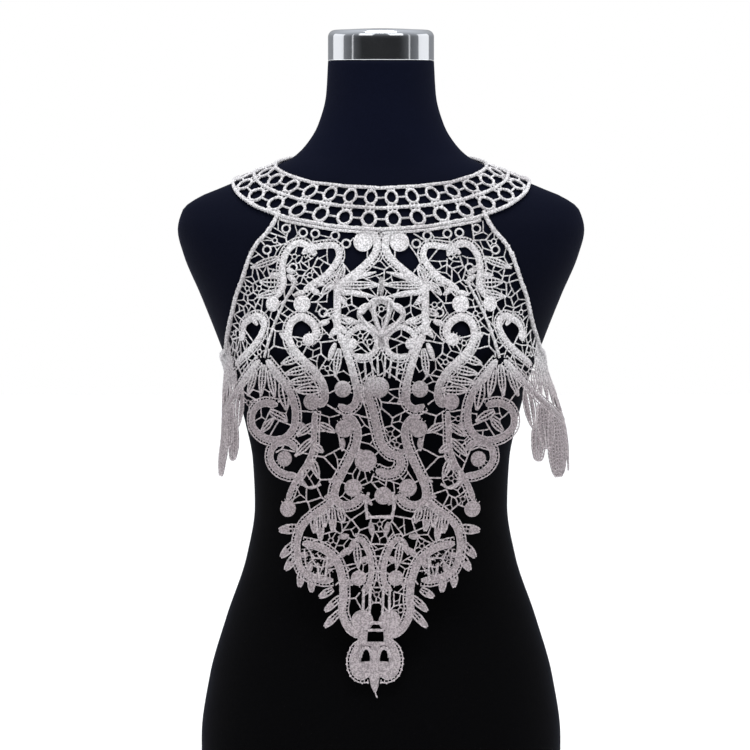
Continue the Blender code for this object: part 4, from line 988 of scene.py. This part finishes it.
for faces in besideEdge.values():
    if len(faces) != 2:
        continue
    start, end = hubs[faces[0]], hubs[faces[1]]
    length = float(np.linalg.norm(end - start))
    if length < netCut["shortest"]:
        continue
    reachMost = min(length, netCut["longest"])
    steps = np.arange(0, reachMost + 0.01, min(1.0, reachMost / 3))
    line = start + (end - start) * (steps[:, None] / length)
    i = np.clip(np.round(line[:, 0] - us[0]).astype(int), 0, len(us) - 1)
    j = np.clip(np.round(line[:, 1] - zs[0]).astype(int), 0, len(zs) - 1)
    kept = ground[i, j] & (field[i, j] > netCut["into"]) & ~ringed[i, j] & (line[:, 1] > netCut["from"])
    edges = np.flatnonzero(np.diff(np.concatenate([[0], kept, [0]])))
    for first, last in zip(edges[::2], edges[1::2]):
        if last - first > 1:
            stitch(cord, line[first:last], cloth["brideRadius"])
            brides += 1

# Fine filling: threads from inside a gap out to its sides, in some gaps round a small ring
fineCut = {"seed": 11, "ring": 2.4, "ringShare": 0.16, "ringRoom": 3.0, "crossShare": 0.6, "thin": 0.52,
           "fineAbove": 420.0, "fineFrom": 176.0, "into": -0.6, "stepOut": 0.5, "shortest": 2.5,
           "longest": 13.0, "drift": 1.6, "knot": 0.95, "sway": 0.5}
draws = np.random.default_rng(fineCut["seed"]).random((len(sites), 4))


def openAt(place):
    i = int(np.clip(round(place[0] - us[0]), 0, len(us) - 1))
    j = int(np.clip(round(place[1] - zs[0]), 0, len(zs) - 1))
    return bool(ground[i, j] and field[i, j] > fineCut["into"] and not ringed[i, j])


def threadOut(start, angle, k):
    way = np.array([math.cos(angle), math.sin(angle)])
    for reach in np.arange(0, fineCut["longest"], fineCut["stepOut"]):
        here = start + way * reach
        if not openAt(here) or np.argmin(np.hypot(*(sites - here).T)) != k:
            return here
    return None


for k in range(fixed, len(sites)):
    if sites[k][1] < fineCut["fineFrom"] or not openAt(sites[k]) or threadOut(sites[k], 0.0, k) is None:
        continue
    share, turn, drift, tilt = draws[k]
    i, j = int(round(sites[k][0] - us[0])), int(round(sites[k][1] - zs[0]))
    withRing = share < fineCut["ringShare"] and field[i, j] > fineCut["ringRoom"]
    if not withRing and sites[k][1] < fineCut["fineAbove"] and share > fineCut["crossShare"]:
        continue
    spokes = 5 if withRing else 3
    start = sites[k] if withRing else sites[k] + fineCut["drift"] * np.array([drift - 0.5, tilt - 0.5])
    if withRing:
        stitch(ringWork, start, fineCut["ring"])
    else:
        stitch(knot, start, fineCut["knot"])
    for spoke in range(spokes):
        angle = 2 * math.pi * (turn + spoke / spokes) + fineCut["sway"] * math.sin(7 * share + 3 * spoke)
        end = threadOut(start, angle, k)
        if end is not None and np.linalg.norm(end - start) > fineCut["shortest"]:
            skipped = fineCut["ring"] / np.linalg.norm(end - start) if withRing else 0.0
            first = start + (end - start) * skipped
            stitch(cord, [first, (first + end) / 2, end], fineCut["thin"])
print("net of", brides, "brides between", len(sites), "gaps")


# Work each piece in the chart and lay it on the form
def worked(works, settings):
    points, edges, kinds, halves = [], [], [], []
    for kind, route, width in works:
        start = len(points)
        points += [(px, py, 0.0) for px, py in route]
        edges += [(start + k, start + k + 1) for k in range(len(route) - 1)]
        kinds += [kind] * len(route)
        halves += list(width)
    mesh = bpy.data.meshes.new("strokes")
    mesh.from_pydata(points, edges, [])
    mesh.attributes.new("work", "INT", "POINT").data.foreach_set("value", kinds)
    mesh.attributes.new("half", "FLOAT", "POINT").data.foreach_set("value", halves)
    source = addObject("strokes", mesh)
    modifier = source.modifiers.new("machine", "NODES")
    modifier.node_group = machine
    for item in machine.interface.items_tree:
        if item.in_out == "INPUT" and item.name in settings:
            modifier[item.identifier] = settings[item.name]
    graph = bpy.context.evaluated_depsgraph_get()
    result = bpy.data.meshes.new_from_object(source.evaluated_get(graph), preserve_all_data_layers=True,
                                             depsgraph=graph)
    bpy.data.objects.remove(source)
    return result


def tidyFaces(mesh):
    work = bmesh.new()
    work.from_mesh(mesh)
    bmesh.ops.recalc_face_normals(work, faces=work.faces)
    work.to_mesh(mesh)
    work.free()


def newPiece(name, mesh, material, slot, *replaced):
    mesh.name = name
    mesh.materials.clear()
    mesh.materials.append(material)
    piece = addObject(name, mesh)
    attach(piece, "root")
    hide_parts(*replaced)
    return piece


# Each length of lace, and the solids that it stands in for
replacedNodes = {"bibLaceLeft": ("bib_front",), "bibLaceRight": ("bib_front",),
                 "pointLace": ("bib_point", "pendant"),
                 "wingLaceLeft": ("wing_left",), "wingLaceRight": ("wing_right",),
                 "bandLace": ("neck_band_front", "neck_band_back_left", "neck_band_back_right")}
for name, nodes in replacedNodes.items():
    mesh = worked(pieceWork[name], stitchSettings)
    flat = np.empty(len(mesh.vertices) * 3)
    mesh.vertices.foreach_get("co", flat)
    flat = flat.reshape(-1, 3)
    laid = wearBand(flat) if name == "bandLace" else wearBib(flat)
    mesh.vertices.foreach_set("co", laid.ravel())
    mesh.update()
    tidyFaces(mesh)
    newPiece(name, mesh, guipure, "lace", *nodes)
    print(name, "laid,", sum(len(p.vertices) - 2 for p in mesh.polygons), "triangles")


# The dress form: one smooth body of level sections, closed flat below and at the neck
formCut = {"turns": 144, "step": 5.0, "footRound": 5.0}


def ringsToMesh(name, rows):
    count = len(rows[0])
    points = [tuple(p) for row in rows for p in row]
    faces = []
    for r in range(len(rows) - 1):
        for k in range(count):
            m = (k + 1) % count
            faces.append((r * count + k, r * count + m, (r + 1) * count + m, (r + 1) * count + k))
    for row, last in ((0, False), (len(rows) - 1, True)):
        middle = len(points)
        points.append((0.0, 0.0, float(np.mean([p[2] for p in rows[row]]))))
        for k in range(count):
            a, b = row * count + k, row * count + (k + 1) % count
            faces.append((a, b, middle) if last else (b, a, middle))
    mesh = bpy.data.meshes.new(name)
    mesh.from_pydata(points, [], faces)
    mesh.validate()
    for face in mesh.polygons:
        face.use_smooth = True
    tidyFaces(mesh)
    return mesh


turns = np.linspace(-math.pi, math.pi, formCut["turns"], endpoint=False)
rows = []
for height in np.append(np.arange(0.0, cap["neckTop"], formCut["step"]), cap["neckTop"]):
    drop = formCut["footRound"] - height
    inset = formCut["footRound"] - math.sqrt(max(formCut["footRound"]**2 - max(drop, 0)**2, 0.0))
    section = onTurn(turns, formRadius(turns, np.full(turns.shape, height)) - inset, height)
    rows.append(leanNeck(section) * mm)
newPiece("formJersey", ringsToMesh("formJersey", rows), jersey, "jersey", "form_torso")

# The neck cap: a spun lid with a rounded rim and a slightly domed top, as radius and height up its profile
capLook = {"turns": 128}
base, top = cap["neckTop"] + cap["seam"], cap["neckTop"] + cap["height"]
profile = [(cap["radius"] - 0.8, base), (cap["radius"] - 0.3, base + 0.2), (cap["radius"], base + 0.7)]
profile += [(cap["radius"], base + h) for h in (1.0, 1.4, 8.0, 15.0, 21.0)]
for a in np.radians(np.arange(0, 91, 9)):
    profile.append((cap["radius"] - cap["rim"] * (1 - math.cos(a)), top - cap["rim"] * (1 - math.sin(a))))
profile += [(cap["radius"] - 9, top), (cap["radius"] / 2, top + 0.9), (12.0, top + 1.4), (2.0, top + 1.5)]
turns = np.linspace(-math.pi, math.pi, capLook["turns"], endpoint=False)
rows = [leanNeck(onTurn(turns, np.full(turns.shape, r), z)) * mm for r, z in profile]
newPiece("capChrome", ringsToMesh("capChrome", rows), chrome, "cap", "neck_cap")
print("form and cap made")

# Each length of cloth as it was cut, before it was worn: the outline on the chart, opened out flat
spread = wearBib(np.stack([x.ravel(), y.ravel(), np.zeros(x.size)], -1)).reshape(x.shape + (3,))
across, down = np.gradient(spread, cloth["grid"] * mm, axis=(0, 1))
cellWide, cellLong = np.linalg.norm(across, axis=-1), np.linalg.norm(down, axis=-1)
seamUp = np.array(wingSeam[::-1])
winged = (np.abs(x) > np.interp(y, seamUp[:, 1], seamUp[:, 0])) & (y > seamUp[0, 1]) & (y < seamUp[-1, 1])
bibbed = (y >= pointSeam) & ~winged
regions = {"bibLaceLeft": bibbed & (x < 0), "bibLaceRight": bibbed & (x >= 0), "pointLace": y < pointSeam,
           "wingLaceLeft": winged & (x < 0), "wingLaceRight": winged & (x > 0)}
cloths = {"bandLace": ("draped", "formJersey"), "bibLaceLeft": ("draped", "bandLace"),
          "bibLaceRight": ("draped", "bandLace"), "pointLace": ("hung", "bibLaceLeft"),
          "wingLaceLeft": ("hung", "bibLaceLeft"), "wingLaceRight": ("hung", "bibLaceRight")}
for name, (held, support) in cloths.items():
    if name == "bandLace":
        flat = [bandLength * mm, band["width"] * mm]
    else:
        cells = regions[name] & (ground | (field < 0))
        columns, rows = cells.any(axis=1), cells.any(axis=0)
        step = cloth["grid"] * mm
        flat = [cellWide[columns][:, rows].sum(axis=0).max() * step,
                cellLong[columns][:, rows].sum(axis=1).max() * step]

# Studio: a pale floor under a soft sky, tall boxes and narrow strips at the sides, two high front boxes
studio = {"floorReach": 60.0, "sky": 2.6, "skySpread": 40.0, "skyTilt": 14.0, "dark": 0.03, "zenith": 0.55,
          "beside": 0.3}
# Boxes, in pairs: size, place of the right one, the height it is aimed at, power
softBoxes = {"sideBox": ((1.5, 1.8), (2.1, 0.65, 1.0), 0.6, 7.0),
             "strip": ((0.12, 1.8), (2.0, -1.0, 1.0), 0.7, 0.5),
             "front": ((1.0, 1.0), (0.9, -1.35, 1.8), 0.6, 3.8)}
bpy.context.scene.view_settings.view_transform = "Standard"
floorMesh = bpy.data.meshes.new("studioFloor")
reach = studio["floorReach"]
floorMesh.from_pydata([(-reach, -reach, 0), (reach, -reach, 0), (reach, reach, 0), (-reach, reach, 0)], [],
                      [(0, 1, 2, 3)])
paper, tree, shader = newMaterial("paleStudioPaper")
grain = addNode(tree, "ShaderNodeTexNoise", {"Scale": 40.0},
                {"Vector": addNode(tree, "ShaderNodeTexCoord").outputs["Object"]})
tint = addNode(tree, "ShaderNodeMix", {"data_type": "RGBA", 6: linear("#f2f2f2"), 7: linear("#f7f7f7")},
               {"Factor": grain.outputs["Fac"]})
tree.links.new(tint.outputs[2], shader.inputs["Base Color"])
shader.inputs["Roughness"].default_value = 0.95
floorMesh.materials.append(paper)
addObject("studioFloor", floorMesh)
for name, (size, (out, back, high), aim, power) in softBoxes.items():
    for label, place in (("Left", Vector((-out, back, high))), ("Right", Vector((out, back, high)))):
        light = bpy.data.lights.new(name + label, "AREA")
        light.shape = "RECTANGLE"
        light.size, light.size_y = size
        light.energy = power
        lamp = addObject(name + label, light)
        lamp.location = place
        lamp.rotation_euler = (Vector((0, 0, aim)) - place).to_track_quat("-Z", "Y").to_euler()
sky = bpy.data.lights.new("softSky", "SUN")
sky.energy, sky.angle = studio["sky"], math.radians(studio["skySpread"])
addObject("softSky", sky).rotation_euler = (math.radians(studio["skyTilt"]), 0, 0)
world = bpy.data.worlds.new("studioAir")
bpy.context.scene.world = world
world.use_nodes = True
air = world.node_tree
air.nodes.clear()
skyward = addNode(air, "ShaderNodeTexCoord").outputs["Generated"]
heading = addNode(air, "ShaderNodeSeparateXYZ", links={"Vector": skyward})
glow = addNode(air, "ShaderNodeMapRange", {"From Min": 0.15, "To Min": studio["dark"],
                                           "To Max": studio["zenith"]},
               {"Value": heading.outputs["Z"]})
flank = addNode(air, "ShaderNodeMapRange", {"From Min": -0.75, "From Max": 0.2, "To Max": studio["beside"]},
                {"Value": heading.outputs["Y"]})
lit = addNode(air, "ShaderNodeMath", {"operation": "ADD"}, {0: glow.outputs["Result"],
                                                            1: flank.outputs["Result"]})
seen = addNode(air, "ShaderNodeBackground", {"Color": (1.0, 1.0, 1.0, 1.0), "Strength": 1.0})
felt = addNode(air, "ShaderNodeBackground", {"Color": (0.92, 0.95, 1.0, 1.0)}, {"Strength": lit.outputs[0]})
ray = addNode(air, "ShaderNodeLightPath")
both = addNode(air, "ShaderNodeMixShader", links={0: ray.outputs["Is Camera Ray"], 1: felt.outputs[0],
                                                  2: seen.outputs[0]})
addNode(air, "ShaderNodeOutputWorld", links={"Surface": both.outputs[0]})
print("studio lit")
